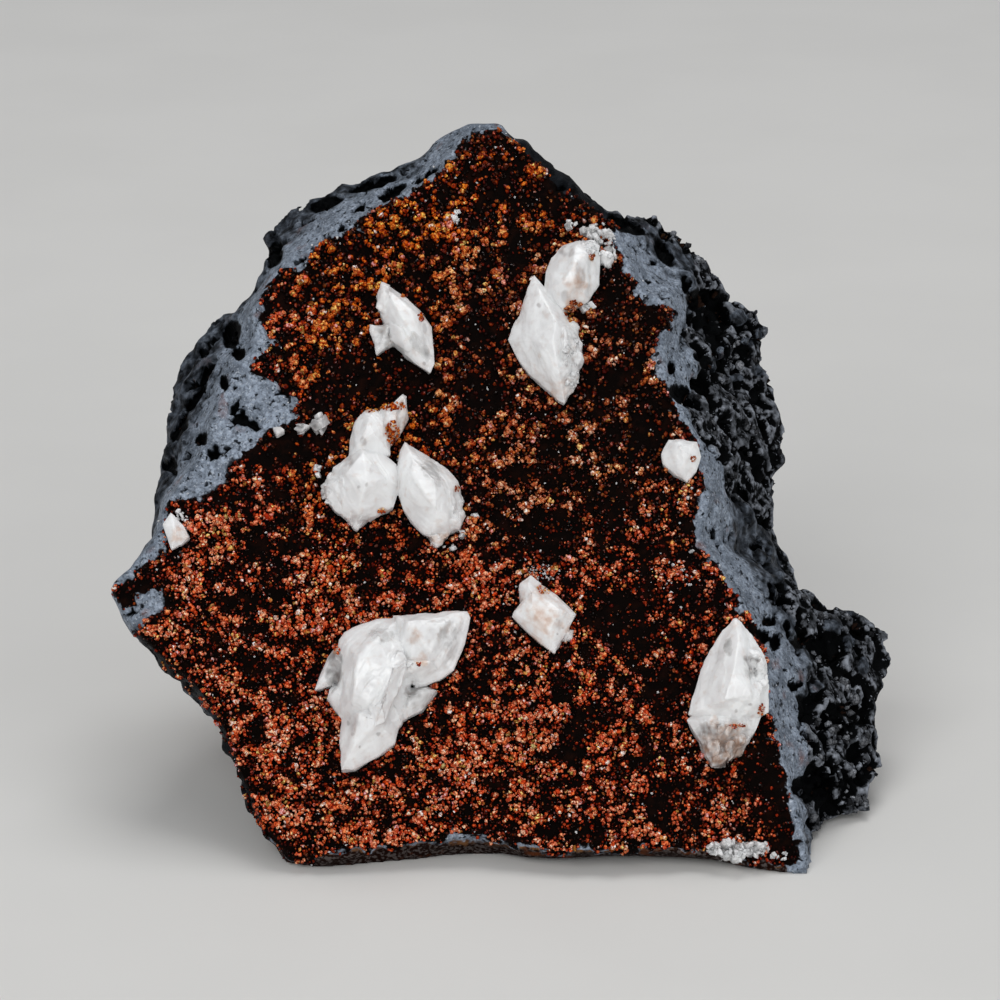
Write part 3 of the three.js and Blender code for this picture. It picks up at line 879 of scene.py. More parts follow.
@dataclass(frozen=True)
class CalciteFinish:
    """Calcite: milky white crystals with a waxy gloss that let light in, glassy streaked
    windows and tips that darken over the black bed, grey veils and a rusty stain."""

    milk: str = "#EFF0F0"
    pearl: str = "#E5E5E5"
    window: str = "#B4B3B2"
    veil: str = "#979190"
    rust: str = "#BE8654"
    faint: float = 0.6  # most that a veil or a stain covers the milk
    roughness: float = 0.3
    glassy: float = 0.12  # roughness of a window
    glass: float = 0.35  # how much of the light passes through a window
    ior: float = 1.6
    glow: float = 0.75
    glow_depth: float = 2.0  # mm that light spreads under the surface
    glow_tint: tuple[float, float, float] = (1.0, 0.98, 0.96)  # red goes furthest, blue least

    def material(self) -> bpy.types.Material:
        """The calcite material, which reads the marks painted on each crystal.

        Returns:
            The material.
        """
        milky = {"IOR": self.ior, "Subsurface Weight": self.glow,
                 "Subsurface Radius": self.glow_tint, "Subsurface Scale": self.glow_depth * MM}
        material, tree, shader = new_material("calcite", milky)
        marks = add_node(tree, "Attribute", attribute_name="marks").outputs["Color"]
        clear, rust, dark = add_node(tree, "SeparateColor", {0: marks}).outputs[:3]
        edge = speckle(tree, 0.9, 0.3, 0.7)
        streak = add_node(tree, "MapRange", {"Value": speckle(tree, 1.5, 0.4, 0.6, 1),
                                             "To Min": 0.5})
        window, veil, stain = (
            add_node(tree, "Math", {0: share, 1: strength}, operation="MULTIPLY").outputs[0]
            for share, strength in (
                (ragged(tree, clear, edge, 0.5, 0.15), streak.outputs[0]),
                (ragged(tree, dark, edge, 0.5, 0.15), self.faint),
                (ragged(tree, rust, edge, 0.5), self.faint),
            )
        )

        colour = blend(tree, speckle(tree, 2.4, 0.42, 0.6), linear(self.milk),
                       linear(self.pearl))
        for share, tint in ((window, self.window), (veil, self.veil), (stain, self.rust)):
            colour = blend(tree, share, colour, linear(tint))
        tree.links.new(colour, shader.inputs["Base Color"])

        grade(tree, shader, window, {"Transmission Weight": (0.0, self.glass),
                                     "Roughness": (self.roughness, self.glassy)})
        steps = add_node(tree, "Bump", {"Height": speckle(tree, 0.5, 0.3, 0.7),
                                        "Strength": 0.2, "Distance": 0.06 * MM})
        tree.links.new(steps.outputs[0], shader.inputs["Normal"])
        return material


@dataclass(frozen=True)
class PaperFinish:
    """Matt paper: the pale floor under the specimen, with a barely visible mottle."""

    light: str = "#DAD9D6"
    shade: str = "#D8D7D4"
    roughness: float = 0.9

    def material(self) -> bpy.types.Material:
        """The floor's material.

        Returns:
            The material.
        """
        material, tree, shader = new_material("matt_paper", {"Roughness": self.roughness})
        mottle = speckle(tree, 40, 0.4, 0.6)
        colour = blend(tree, mottle, linear(self.light), linear(self.shade))
        tree.links.new(colour, shader.inputs["Base Color"])
        return material


# ---- the block ----------------------------------------------------------------------------


@dataclass(frozen=True)
class Ground:
    """What covers each place on the block: druse, slate, charcoal or plain brown limonite."""

    wander: float = 0.7  # mm that the druse's edge strays
    behind: float = -2.2  # mm behind the face where the druse has ended
    slate_depth: float = -17.0  # mm behind the face where the slate skin gives way to brown
    charcoal_depth: float = -26.0  # and the charcoal
    voids: tuple[Oval, ...] = (
        Oval(-33, 14.7, 0.5, 1.4, -30), Oval(-34.2, 11.9, 0.55, 1.7, -35),
        Oval(-35.9, 8.6, 0.6, 1.7, -30), Oval(-30.3, 19.4, 1.1, 1.6), Oval(-29.3, 17, 0.8, 0.8),
        Oval(-30.7, 13.5, 0.5, 0.8), Oval(-29.6, 10.5, 0.4, 0.5), Oval(-28.7, 10, 0.3, 0.5),
        Oval(-33.1, 7.1, 0.6, 0.8, -30), Oval(-31.7, 5.9, 0.4, 0.7, -30),
        Oval(-37.2, 4.2, 1, 0.7), Oval(-33.5, 17.3, 0.6, 0.5),
        Oval(-8.3, 37.9, 1.4, 0.35, 38), Oval(-12, 35.9, 1.6, 0.5, 30),
        Oval(-15.9, 34.1, 0.8, 0.4, 30), Oval(-17.8, 31.5, 0.5, 0.3, 30),
        Oval(-25.5, 29, 1, 1.5), Oval(-19.8, 35, 1.7, 0.8, 20), Oval(-14.6, 37.2, 2.6, 0.6, 15),
        Oval(18.6, 29.2, 0.8, 1.7, 30), Oval(18.9, 31.6, 0.6, 1), Oval(20.9, 30.9, 0.7, 0.9),
        Oval(21.1, 25.5, 0.4, 1.1), Oval(17.2, 27.9, 0.4, 0.3), Oval(13.8, 32.2, 2.6, 0.8, -15),
        Oval(20.3, 12.1, 1.7, 0.9, -35), Oval(19, 15.4, 0.5, 0.7), Oval(22.2, 23.6, 1.1, 1),
        Oval(28.7, -5.3, 0.6, 0.5), Oval(27, 1, 0.5, 1.3, 40), Oval(30.7, -11.8, 0.9, 0.3),
        Oval(29.7, -13.8, 0.7, 0.5), Oval(30.2, -16.1, 0.6, 0.9), Oval(28.7, -15.4, 0.8, 0.7),
        Oval(30.1, -10.4, 0.4, 0.9), Oval(31.7, -14.7, 0.3, 1), Oval(33.3, -16.1, 0.9, 0.7),
        Oval(32.4, -21, 0.8, 0.5), Oval(36.5, -17, 2.2, 1.8), Oval(35, -32, 2, 1.6),
        Oval(38.5, -24.5, 1.4, 1.2), Oval(24.5, 21.5, 1.6, 2), Oval(23.4, 16.5, 0.8, 1),
    )
    blobs: tuple[Oval, ...] = (
        Oval(27.6, 21.6, 1.1, 1), Oval(25.2, 17.4, 0.6, 1), Oval(29.8, 19.9, 0.4, 0.9),
        Oval(24.2, 15.8, 0.7, 0.9), Oval(28.4, 18.7, 0.9, 0.6), Oval(29.6, 15.4, 0.9, 0.7),
        Oval(27, 14.5, 0.8, 0.5), Oval(37.5, -14.7, 1.1, 0.9), Oval(39.2, -16.5, 0.9, 0.9),
        Oval(41, -19.4, 0.7, 1.1), Oval(35.1, -21.4, 0.9, 0.5), Oval(40, -13, 0.7, 0.5),
    )
    bare: tuple[Oval, ...] = (Oval(-38.2, -11.5, 1.6, 1.2, 20), Oval(-40, -13.1, 1.3, 1.2))
    # Patches of the rim painted in deep shade.
    shaded: tuple[Oval, ...] = (
        Oval(8, 37.9, 9, 2.5, -41), Oval(-35.6, -19, 6.2, 1.7, -45),
        Oval(-28.5, -30.5, 9.5, 2, -72),
    )

    def druse(self, places: np.ndarray) -> np.ndarray:
        """How far each place lies inside the druse.

        Args:
            places: Places in the face's frame.

        Returns:
            The depth of each in mm, less than 0 outside.
        """
        flat = places[:, :2]
        stray = lattice_noise(flat, 1.6, 3) + 0.5 * lattice_noise(flat, 0.6, 4)
        lobes = 1.4 * (nearest_seed(flat, 1.7, 6) - 0.5)
        depth = depth_inside(flat, DRUSE_EDGE) + self.wander * (0.6 * stray + lobes)
        for oval in self.bare:
            depth = np.minimum(depth, 3 * (0.5 - oval.cover(flat)) + 0.5 * stray)
        return depth

    def shares(self, places: np.ndarray, normals: np.ndarray) -> np.ndarray:
        """Splits the surface between the kinds of ground.

        Args:
            places: Vertices in the face's frame.
            normals: Their normals in the row's frame.

        Returns:
            Shares of druse, slate, charcoal and grey front lip, and how much painted shade dims
            the slate.
        """
        marks = FACE.painted(places)
        druse = smooth(-0.4, 0.4, self.druse(places))
        druse *= smooth(self.behind - 0.5, self.behind + 0.5, places[:, 2])
        limit_y, limit_x = [np.array(c) for c in zip(*[(y, x) for x, y in SLATE_LIMIT])]
        beyond = marks[:, 0] - np.interp(marks[:, 1], limit_y, limit_x)
        beyond += 1.6 * lattice_noise(places, 3.1, 11)
        facing = normals @ FACE.axes()[2]
        stray = 3 * lattice_noise(places, 5, 12)
        depth = places[:, 2] + stray + 2.4 * lattice_noise(places, 1.7, 13)
        front = smooth(-0.95, -0.6, facing + 0.03 * stray)
        front = front * smooth(self.slate_depth - 2, self.slate_depth + 2, depth)
        right = smooth(-0.8, 0.8, beyond)
        charcoal = right * smooth(-0.95, -0.6, facing) * (1 - druse)
        charcoal *= smooth(self.charcoal_depth - 2, self.charcoal_depth + 2, depth)
        slate = front * (1 - right) * (1 - druse)
        blob = most_cover(self.blobs, marks, 0.35)
        charcoal, slate = charcoal * (1 - blob), slate + charcoal * blob
        lip = smooth(-37.5, -40, marks[:, 1] + 0.3 * stray) * (marks[:, 0] < 31) * (1 - druse)
        # Painted shade: the slate dims further behind the face, and most under the shaded patches.
        dim = 0.8 * smooth(-2.5, -7.5, places[:, 2] + 0.5 * stray)
        dim = np.maximum(dim, 1.3 * most_cover(self.shaded, marks, 0.3))
        return np.column_stack([druse, slate * (1 - lip), charcoal * (1 - lip), lip, dim])


class Pattern(Enum):
    """The solid texture of a layer of relief."""

    LUMPS = "CLOUDS"
    ROUND_PITS = "VORONOI"


@dataclass(frozen=True)
class Relief:
    """A layer of relief: what ground it is on, how wide its features are and how high."""

    group: str  # the vertex group that it is held to
    size: float  # size of a feature in mm
    height: float  # movement in mm for a texture value of 1
    middle: float = 0.5  # the texture value that doesn't move the surface
    ramp: tuple[float, float] | None = None  # texture values that are stretched to 0 and 1
    octaves: int = 2
    pattern: Pattern = Pattern.LUMPS

    def apply(self, piece: bpy.types.Object) -> None:
        """Moves the piece's surface along its normal by a solid texture.

        Args:
            piece: The block.
        """
        texture = bpy.data.textures.new(f"{self.group}_{self.size}", self.pattern.value)
        texture.noise_scale = self.size * MM
        if self.pattern is Pattern.LUMPS:
            texture.noise_depth = self.octaves
        if self.ramp:
            texture.use_color_ramp = True
            for element, place, value in zip(texture.color_ramp.elements, self.ramp, (0, 1)):
                element.position = place
                element.color = (value, value, value, 1)
        apply_modifier(piece, "DISPLACE", texture=texture, strength=self.height * MM,
                       mid_level=self.middle, vertex_group=self.group)


@dataclass
class LimoniteBlock:
    """The block of limonite, with its broken rim, its pits and its base cut flat."""

    node: str = "limonite_block"
    voxel: float = 0.36
    void_depth: float = 1.6
    sound: tuple[float, float] = (1.0, 4.5)  # mm of thickness from unchanged to fully broken
    proud: float = 0.6  # mm from a crevice painted quite dark, as shade, to an edge painted quite light
    untangling: int = 4  # times that overturned faces are looked for
    spared: tuple[Oval, ...] = (Oval(43.2, -19.6, 2.4, 3),)  # where a thin edge stays whole
    thin: tuple[float, float] = (4.0, 9.0)  # mm of thickness over which pits can be taken back
    most_faces: int = 190_000  # triangles that are left in the end
    lumps: tuple[Relief, ...] = (
        Relief("broken", 5.5, 1.4, 0.55), Relief("rim", 3.2, 2.6, octaves=1),
        Relief("charcoal", 3.2, 2.0, 0.62, octaves=1), Relief("druse", 3.4, 0.9, 0.8),
        Relief("rough", 1.3, 0.5),
    )
    pits: tuple[Relief, ...] = (
        Relief("charcoal", 3.4, 0.7, 1, (0.12, 0.36), pattern=Pattern.ROUND_PITS),
        Relief("charcoal", 2.2, 1.4, 1, (0.38, 0.5), octaves=1),
        Relief("hidden", 2.8, 1.1, 1, (0.2, 0.3)), Relief("slate", 1.9, 1.2, 1, (0.28, 0.34)),
        Relief("slate", 0.8, 0.5, 1, (0.2, 0.26)),
    )
    ground: Ground = field(default_factory=Ground)

    def build(self, frame: dict[str, Any]) -> bpy.types.Object:
        """Models and dresses the block.

        Args:
            frame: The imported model.

        Returns:
            The block.
        """
        piece = merged_copy(frame["nodes"][self.node], "limonite_stone")
        apply_modifier(piece, "REMESH", mode="VOXEL", voxel_size=self.voxel * MM)
        self.roughen(piece, self.mask(piece))
        apply_modifier(piece, "REMESH", mode="VOXEL", voxel_size=self.voxel * MM)
        self.mask(piece)
        before = positions(piece)
        self.pit(piece)
        depth = np.linalg.norm(positions(piece) - before, axis=1) / MM
        paint(piece, "pit_depth", np.column_stack([depth] * 3 + [np.ones_like(depth)]))
        self.settle(piece)
        self.thin_out(piece)
        self.colour(piece)
        shade_smooth(piece)
        finish_piece(piece, LimoniteFinish().material(), self.node)
        return piece

    def mask(self, piece: bpy.types.Object) -> np.ndarray:
        """Makes the vertex groups that hold each kind of relief to its own ground.

        Args:
            piece: The block.

        Returns:
            How much of the plain hidden sides each vertex has.
        """
        piece.vertex_groups.clear()
        places = FACE.places(positions(piece))
        druse, slate, charcoal, lip, dim = self.ground.shares(places, vertex_normals(piece)).T
        standing = smooth(0.3, 1.6, positions(piece)[:, 2] / MM)
        standing *= smooth(*self.sound, thickness(piece, self.sound[1]))
        for oval in self.spared:
            standing *= 1 - 0.7 * oval.cover(FACE.painted(places))
        hidden = np.clip(1 - druse - slate - charcoal - lip, 0, 1)
        skin = slate * (1 - dim)
        grounds = {"broken": 1 - druse - 0.4 * skin, "rough": 1 - druse - 0.75 * skin,
                   "rim": slate * dim, "hidden": hidden, "slate": slate + 0.6 * charcoal,
                   "charcoal": charcoal, "druse": druse}
        for name, share in grounds.items():
            weigh(piece, name, share * standing)
        weigh(piece, "coarse", np.maximum(0.4 * hidden, 0.9 * druse))
        return hidden * standing

    def roughen(self, piece: bpy.types.Object, hidden: np.ndarray) -> None:
        """Breaks up the rim, the hidden sides and the druse's bed.

        Args:
            piece: The block.
            hidden: How much of the plain hidden sides each vertex has.
        """
        places = FACE.places(positions(piece))
        ledges = 2.6 * lattice_noise(places, 10, 61) + 0.8 * lattice_noise(places, 4, 62)
        chips = 2 * lattice_noise(places, 3.2, 63) + 0.6 * lattice_noise(places, 1.4, 64)
        broken = 1.1 * terraces(ledges, 0.3, 0.6) + 0.5 * terraces(chips, 0.3, 0.65)
        shift = (hidden * (broken - 1.2) * MM)[:, None] * vertex_normals(piece)
        set_positions(piece, positions(piece) + shift)
        for layer in self.lumps:
            layer.apply(piece)

    def pit(self, piece: bpy.types.Object) -> None:
        """Sinks the round hollows of the charcoal, the small pits of the slate and the voids.

        Args:
            piece: The block.
        """
        before, facing = positions(piece), face_normals(piece)
        thin = 1 - smooth(*self.thin, thickness(piece, self.thin[1]))
        for layer in self.pits:
            layer.apply(piece)
        self.untangle(piece, before, facing, thin)
        points = positions(piece)
        places = FACE.places(points)
        sunk = most_cover(self.ground.voids, strayed(places, 0.3, 0.9, 21), 0.3)
        sunk *= smooth(-22, -18, places[:, 2]) * (1 - smooth(0, 0.5, self.ground.druse(places)))
        sunk *= smooth(*self.sound, thickness(piece, self.sound[1]))
        sunk *= smooth(-0.2, 0.2, vertex_normals(piece) @ FACE.axes()[2])
        points -= sunk[:, None] * self.void_depth * MM * FACE.axes()[2]
        set_positions(piece, points)

    def untangle(
        self, piece: bpy.types.Object, before: np.ndarray, facing: np.ndarray, thin: np.ndarray
    ) -> None:
        """Takes the pits back where they have turned over the faces of a thin edge.

        Args:
            piece: The block.
            before: Its vertices before it was pitted.
            facing: Its face normals before it was pitted.
            thin: Share of the pits that can be taken back at each vertex.
        """
        sides = np.empty(len(facing), dtype=np.int32)
        corners = np.empty(len(piece.data.loops), dtype=np.int32)
        piece.data.polygons.foreach_get("loop_total", sides)
        piece.data.loops.foreach_get("vertex_index", corners)
        for _ in range(self.untangling):
            turned = (facing * face_normals(piece)).sum(axis=1) < -0.25
            taken = np.zeros((len(before), 1))
            taken[corners[np.repeat(turned, sides)]] = 1
            taken = np.clip(3 * levelled(piece, taken, 2), 0, 1) * thin[:, None]
            points = positions(piece)
            set_positions(piece, points + (before - points) * taken)

    def settle(self, piece: bpy.types.Object) -> None:
        """Keeps the block above the surface that it rests on.

        Args:
            piece: The block.
        """
        points = positions(piece)
        points[:, 2] = np.maximum(points[:, 2], 0)
        set_positions(piece, points)

    def thin_out(self, piece: bpy.types.Object) -> None:
        """Thins the mesh where the grains or the back need less of it.

        Args:
            piece: The block.
        """
        triangles = sum(len(p.vertices) - 2 for p in piece.data.polygons)
        ratio = min(1.0, self.most_faces / triangles)
        apply_modifier(piece, "DECIMATE", ratio=ratio, vertex_group="coarse",
                       vertex_group_factor=2.0)
        piece.vertex_groups.clear()

    def colour(self, piece: bpy.types.Object) -> None:
        """Stores the ground, the lip, the painted shade of the rim and the relief, which sets
        painted light and shade, for the material.

        Args:
            piece: The block.
        """
        places = FACE.places(positions(piece))
        shares = self.ground.shares(places, vertex_normals(piece))
        ones = np.ones(len(places))
        paint(piece, "ground", np.column_stack([shares[:, :3], ones]))
        layer = piece.data.color_attributes["pit_depth"]
        depth = np.empty(len(places) * 4, dtype=np.float32)
        layer.data.foreach_get("color", depth)
        # Pits count as hollows. The material paints light where a place stands proud and shade in
        # crevices and hollows.
        hollow = smooth(0.1, 0.5, depth.reshape(-1, 4)[:, 0])
        piece.data.color_attributes.remove(layer)
        stand = np.clip(0.5 + proudness(piece) / self.proud, 0, 1) * (1 - hollow)
        paint(piece, "relief", np.column_stack([shares[:, 3:], stand, ones]))


# ---- the grains ---------------------------------------------------------------------------


class Habit(Enum):
    """The shape of a scattered grain: a rounded limonite crystal or a calcite cleavage rhomb."""

    ROUNDED = 1
    RHOMB = 2


@dataclass
class GrainStock:
    """A few differently shaped grains of radius 1, which the scatters copy."""

    habit: Habit = Habit.ROUNDED
    kinds: int = 8
    unevenness: float = 0.4
    slant: float = -0.11  # leans a cube to a cleavage rhomb, with angles of 102 and 78 degrees

    def build(self) -> tuple[list[np.ndarray], np.ndarray]:
        """Models the grains.

        Returns:
            The points of each kind of grain, and the triangles that they share.
        """
        shapes = []
        for seed in range(self.kinds):
            bpy.ops.object.select_all(action="DESELECT")
            if self.habit is Habit.ROUNDED:
                bpy.ops.mesh.primitive_ico_sphere_add(subdivisions=1, radius=1)
            else:
                bpy.ops.mesh.primitive_cube_add(size=1.3)
            grain = bpy.context.object
            bpy.ops.object.mode_set(mode="EDIT")
            bpy.ops.mesh.select_all(action="SELECT")
            bpy.ops.transform.vertex_random(offset=self.unevenness, seed=seed)
            bpy.ops.object.mode_set(mode="OBJECT")
            if self.habit is Habit.RHOMB:
                apply_modifier(grain, "BEVEL", width=0.12, segments=1, limit_method="NONE")
                apply_modifier(grain, "TRIANGULATE")
                set_positions(grain, positions(grain) @ self.lean())
            shapes.append(positions(grain))
            triangles = np.array([tuple(p.vertices) for p in grain.data.polygons])
            bpy.data.objects.remove(grain)
        return shapes, triangles

    def lean(self) -> np.ndarray:
        """The shear that turns a cube to a cleavage rhomb."""
        return np.eye(3) + self.slant * np.array([[0, 1, 1], [1, 0, 1], [1, 1, 0]])


def scatter_mesh(
    name: str,
    stock: tuple[list[np.ndarray], np.ndarray],
    points: np.ndarray,
    radii: np.ndarray,
    tints: np.ndarray,
    chance: np.random.Generator,
    deep: float | np.ndarray = 0.15,
    fade: tuple[float, float, float] = (1.0, 1.0, 1.0),
    glints: float = 0.0,
    facets: float = 0.7,
) -> bpy.types.Object:
    """Joins many grains in one mesh.

    Args:
        name: Name of the piece.
        stock: The shapes to copy and their triangles.
        points: The middle of each grain in metres.
        radii: Radius of each grain in mm.
        tints: Linear red, green and blue of each grain.
        chance: Source of random numbers.
        deep: How much of its tint a grain keeps at its foot, in painted shade, for all grains or
            for each.
        fade: How fast red, green and blue fade towards the painted shade at the foot.
        glints: Share of the facets painted as glints, brighter and whiter as they face up.
        facets: How much the painted brightness of the facets differs at random.

    Returns:
        The piece.
    """
    shapes, triangles = stock
    count, corners = len(points), len(shapes[0])
    turns = chance.normal(size=(count, 4))
    turns /= np.linalg.norm(turns, axis=1)[:, None]
    w, x, y, z = turns.T
    spin = np.stack([
        np.stack([1 - 2 * (y * y + z * z), 2 * (x * y - z * w), 2 * (x * z + y * w)], -1),
        np.stack([2 * (x * y + z * w), 1 - 2 * (x * x + z * z), 2 * (y * z - x * w)], -1),
        np.stack([2 * (x * z - y * w), 2 * (y * z + x * w), 1 - 2 * (x * x + y * y)], -1),
    ], 1)
    drawn_out = chance.uniform(0.65, 1.35, size=(count, 1, 3))
    picked = np.array(shapes)[chance.integers(len(shapes), size=count)] * drawn_out
    spun = np.einsum("nij,nkj->nki", spin, picked)
    placed = spun * (radii * MM)[:, None, None] + points[:, None, :]
    placed[:, :, 2] = np.maximum(placed[:, :, 2], 0)
    height = (spun @ FACE.axes()[2]).ravel()[:, None]
    faces = (triangles[None] + np.arange(count)[:, None, None] * corners).reshape(-1, 3)

    mesh = bpy.data.meshes.new(name)
    mesh.vertices.add(count * corners)
    mesh.vertices.foreach_set("co", placed.ravel())
    mesh.loops.add(len(faces) * 3)
    mesh.loops.foreach_set("vertex_index", faces.ravel().astype(np.int32))
    mesh.polygons.add(len(faces))
    mesh.polygons.foreach_set("loop_start", np.arange(len(faces), dtype=np.int32) * 3)
    mesh.polygons.foreach_set("loop_total", np.full(len(faces), 3, dtype=np.int32))
    mesh.update(calc_edges=True)
    mesh.validate()
    piece = bpy.data.objects.new(name, mesh)
    bpy.context.scene.collection.objects.link(piece)
    # Painted light and shade: each grain darkens towards its foot, each facet gets a random
    # painted brightness, and some upward facets are painted as glints.
    low = np.repeat(np.broadcast_to(deep, count), corners)[:, None]
    depth = (low + (1 - low) * smooth(-0.3, 0.9, height))[faces.ravel()]
    depth *= np.repeat(chance.uniform(1 - facets, 1 + facets, len(faces)), 3)[:, None]
    caught = np.repeat(chance.random(len(faces)) < glints, 3)[:, None]
    caught = caught * smooth(0.2, 0.9, height[faces.ravel()])
    colours = np.repeat(tints, 3 * len(triangles), axis=0) * depth ** np.array(fade)
    colours = np.minimum(colours * (1 + 2 * caught) + 0.12 * caught, 0.95)
    paint(piece, "tint", np.column_stack([colours, np.ones(len(colours))]), "CORNER")
    return piece


@dataclass
class Bedding:
    """Finds where things that stand on the face meet the stone or a crystal."""

    stone: bpy.types.Object
    crystals: list[bpy.types.Object]
    start: float = 15.0  # mm in front of the face that a drop starts from

    def __post_init__(self) -> None:
        """Makes the search trees."""
        depsgraph = bpy.context.evaluated_depsgraph_get()
        self.stone_tree = BVHTree.FromObject(self.stone, depsgraph)
        self.crystal_trees = [BVHTree.FromObject(c, depsgraph) for c in self.crystals]
        self.boxes = [self.reach(c) for c in self.crystals]

    def reach(self, crystal: bpy.types.Object) -> np.ndarray:
        """Lowest and highest place of a crystal on the face."""
        places = FACE.places(positions(crystal))
        return np.array([places.min(axis=0), places.max(axis=0)])

    def drop(self, spots: np.ndarray) -> tuple[np.ndarray, np.ndarray]:
        """Drops points straight onto the stone.

        Args:
            spots: x and y of each point on the face.

        Returns:
            Where each lands, in the face's frame, and whether it lands clear of the crystals.
        """
        landed = np.column_stack([spots, np.zeros(len(spots))])
        kept = np.zeros(len(spots), dtype=bool)
        starts = FACE.points(np.column_stack([spots, np.full(len(spots), self.start)]))
        down = -FACE.outwards()
        for i, start in enumerate(starts):
            _, _, _, far = self.stone_tree.ray_cast(Vector(start), down)
            if far is not None:
                crystal = self.on_crystal(spots[i], Vector(start), down)
                kept[i] = crystal is None or crystal > far
                landed[i, 2] = self.start - far / MM
        return landed, kept

    def drop_on_crystals(self, spots: np.ndarray) -> np.ndarray:
        """Drops points onto the crystals, along the line that marks are laid on by.

        Args:
            spots: x and y of each point on the face.

        Returns:
            Where those land that meet a crystal, in the face's frame.
        """
        high = np.column_stack([spots[:, 0], spots[:, 1] - PAINT_SLANT * self.start,
                                np.full(len(spots), self.start)])
        slant = Vector(np.array([0, PAINT_SLANT, -1]) @ FACE.axes()).normalized()
        landed = []
        for spot_place, start in zip(spots, FACE.points(high)):
            far = self.on_crystal(spot_place, Vector(start), slant, self.start * PAINT_SLANT)
            if far is not None:
                landed.append(FACE.places(np.array(Vector(start) + slant * far)[None])[0])
        return np.array(landed).reshape(-1, 3)

    def on_crystal(
        self, spot: np.ndarray, origin: Vector, down: Vector, spare: float = 0.0
    ) -> float | None:
        """How far a drop falls before it meets a crystal.

        Args:
            spot: x and y of the drop on the face.
            origin: Where it starts.
            down: The way it falls.
            spare: mm that a crystal's box is widened by.

        Returns:
            The distance in metres, or None where there is no crystal.
        """
        for tree, (low, high) in zip(self.crystal_trees, self.boxes):
            if (spot < low[:2] - spare).any() or (spot > high[:2] + spare).any():
                continue
            _, _, _, far = tree.ray_cast(origin, down)
            if far is not None:
                return far
        return None


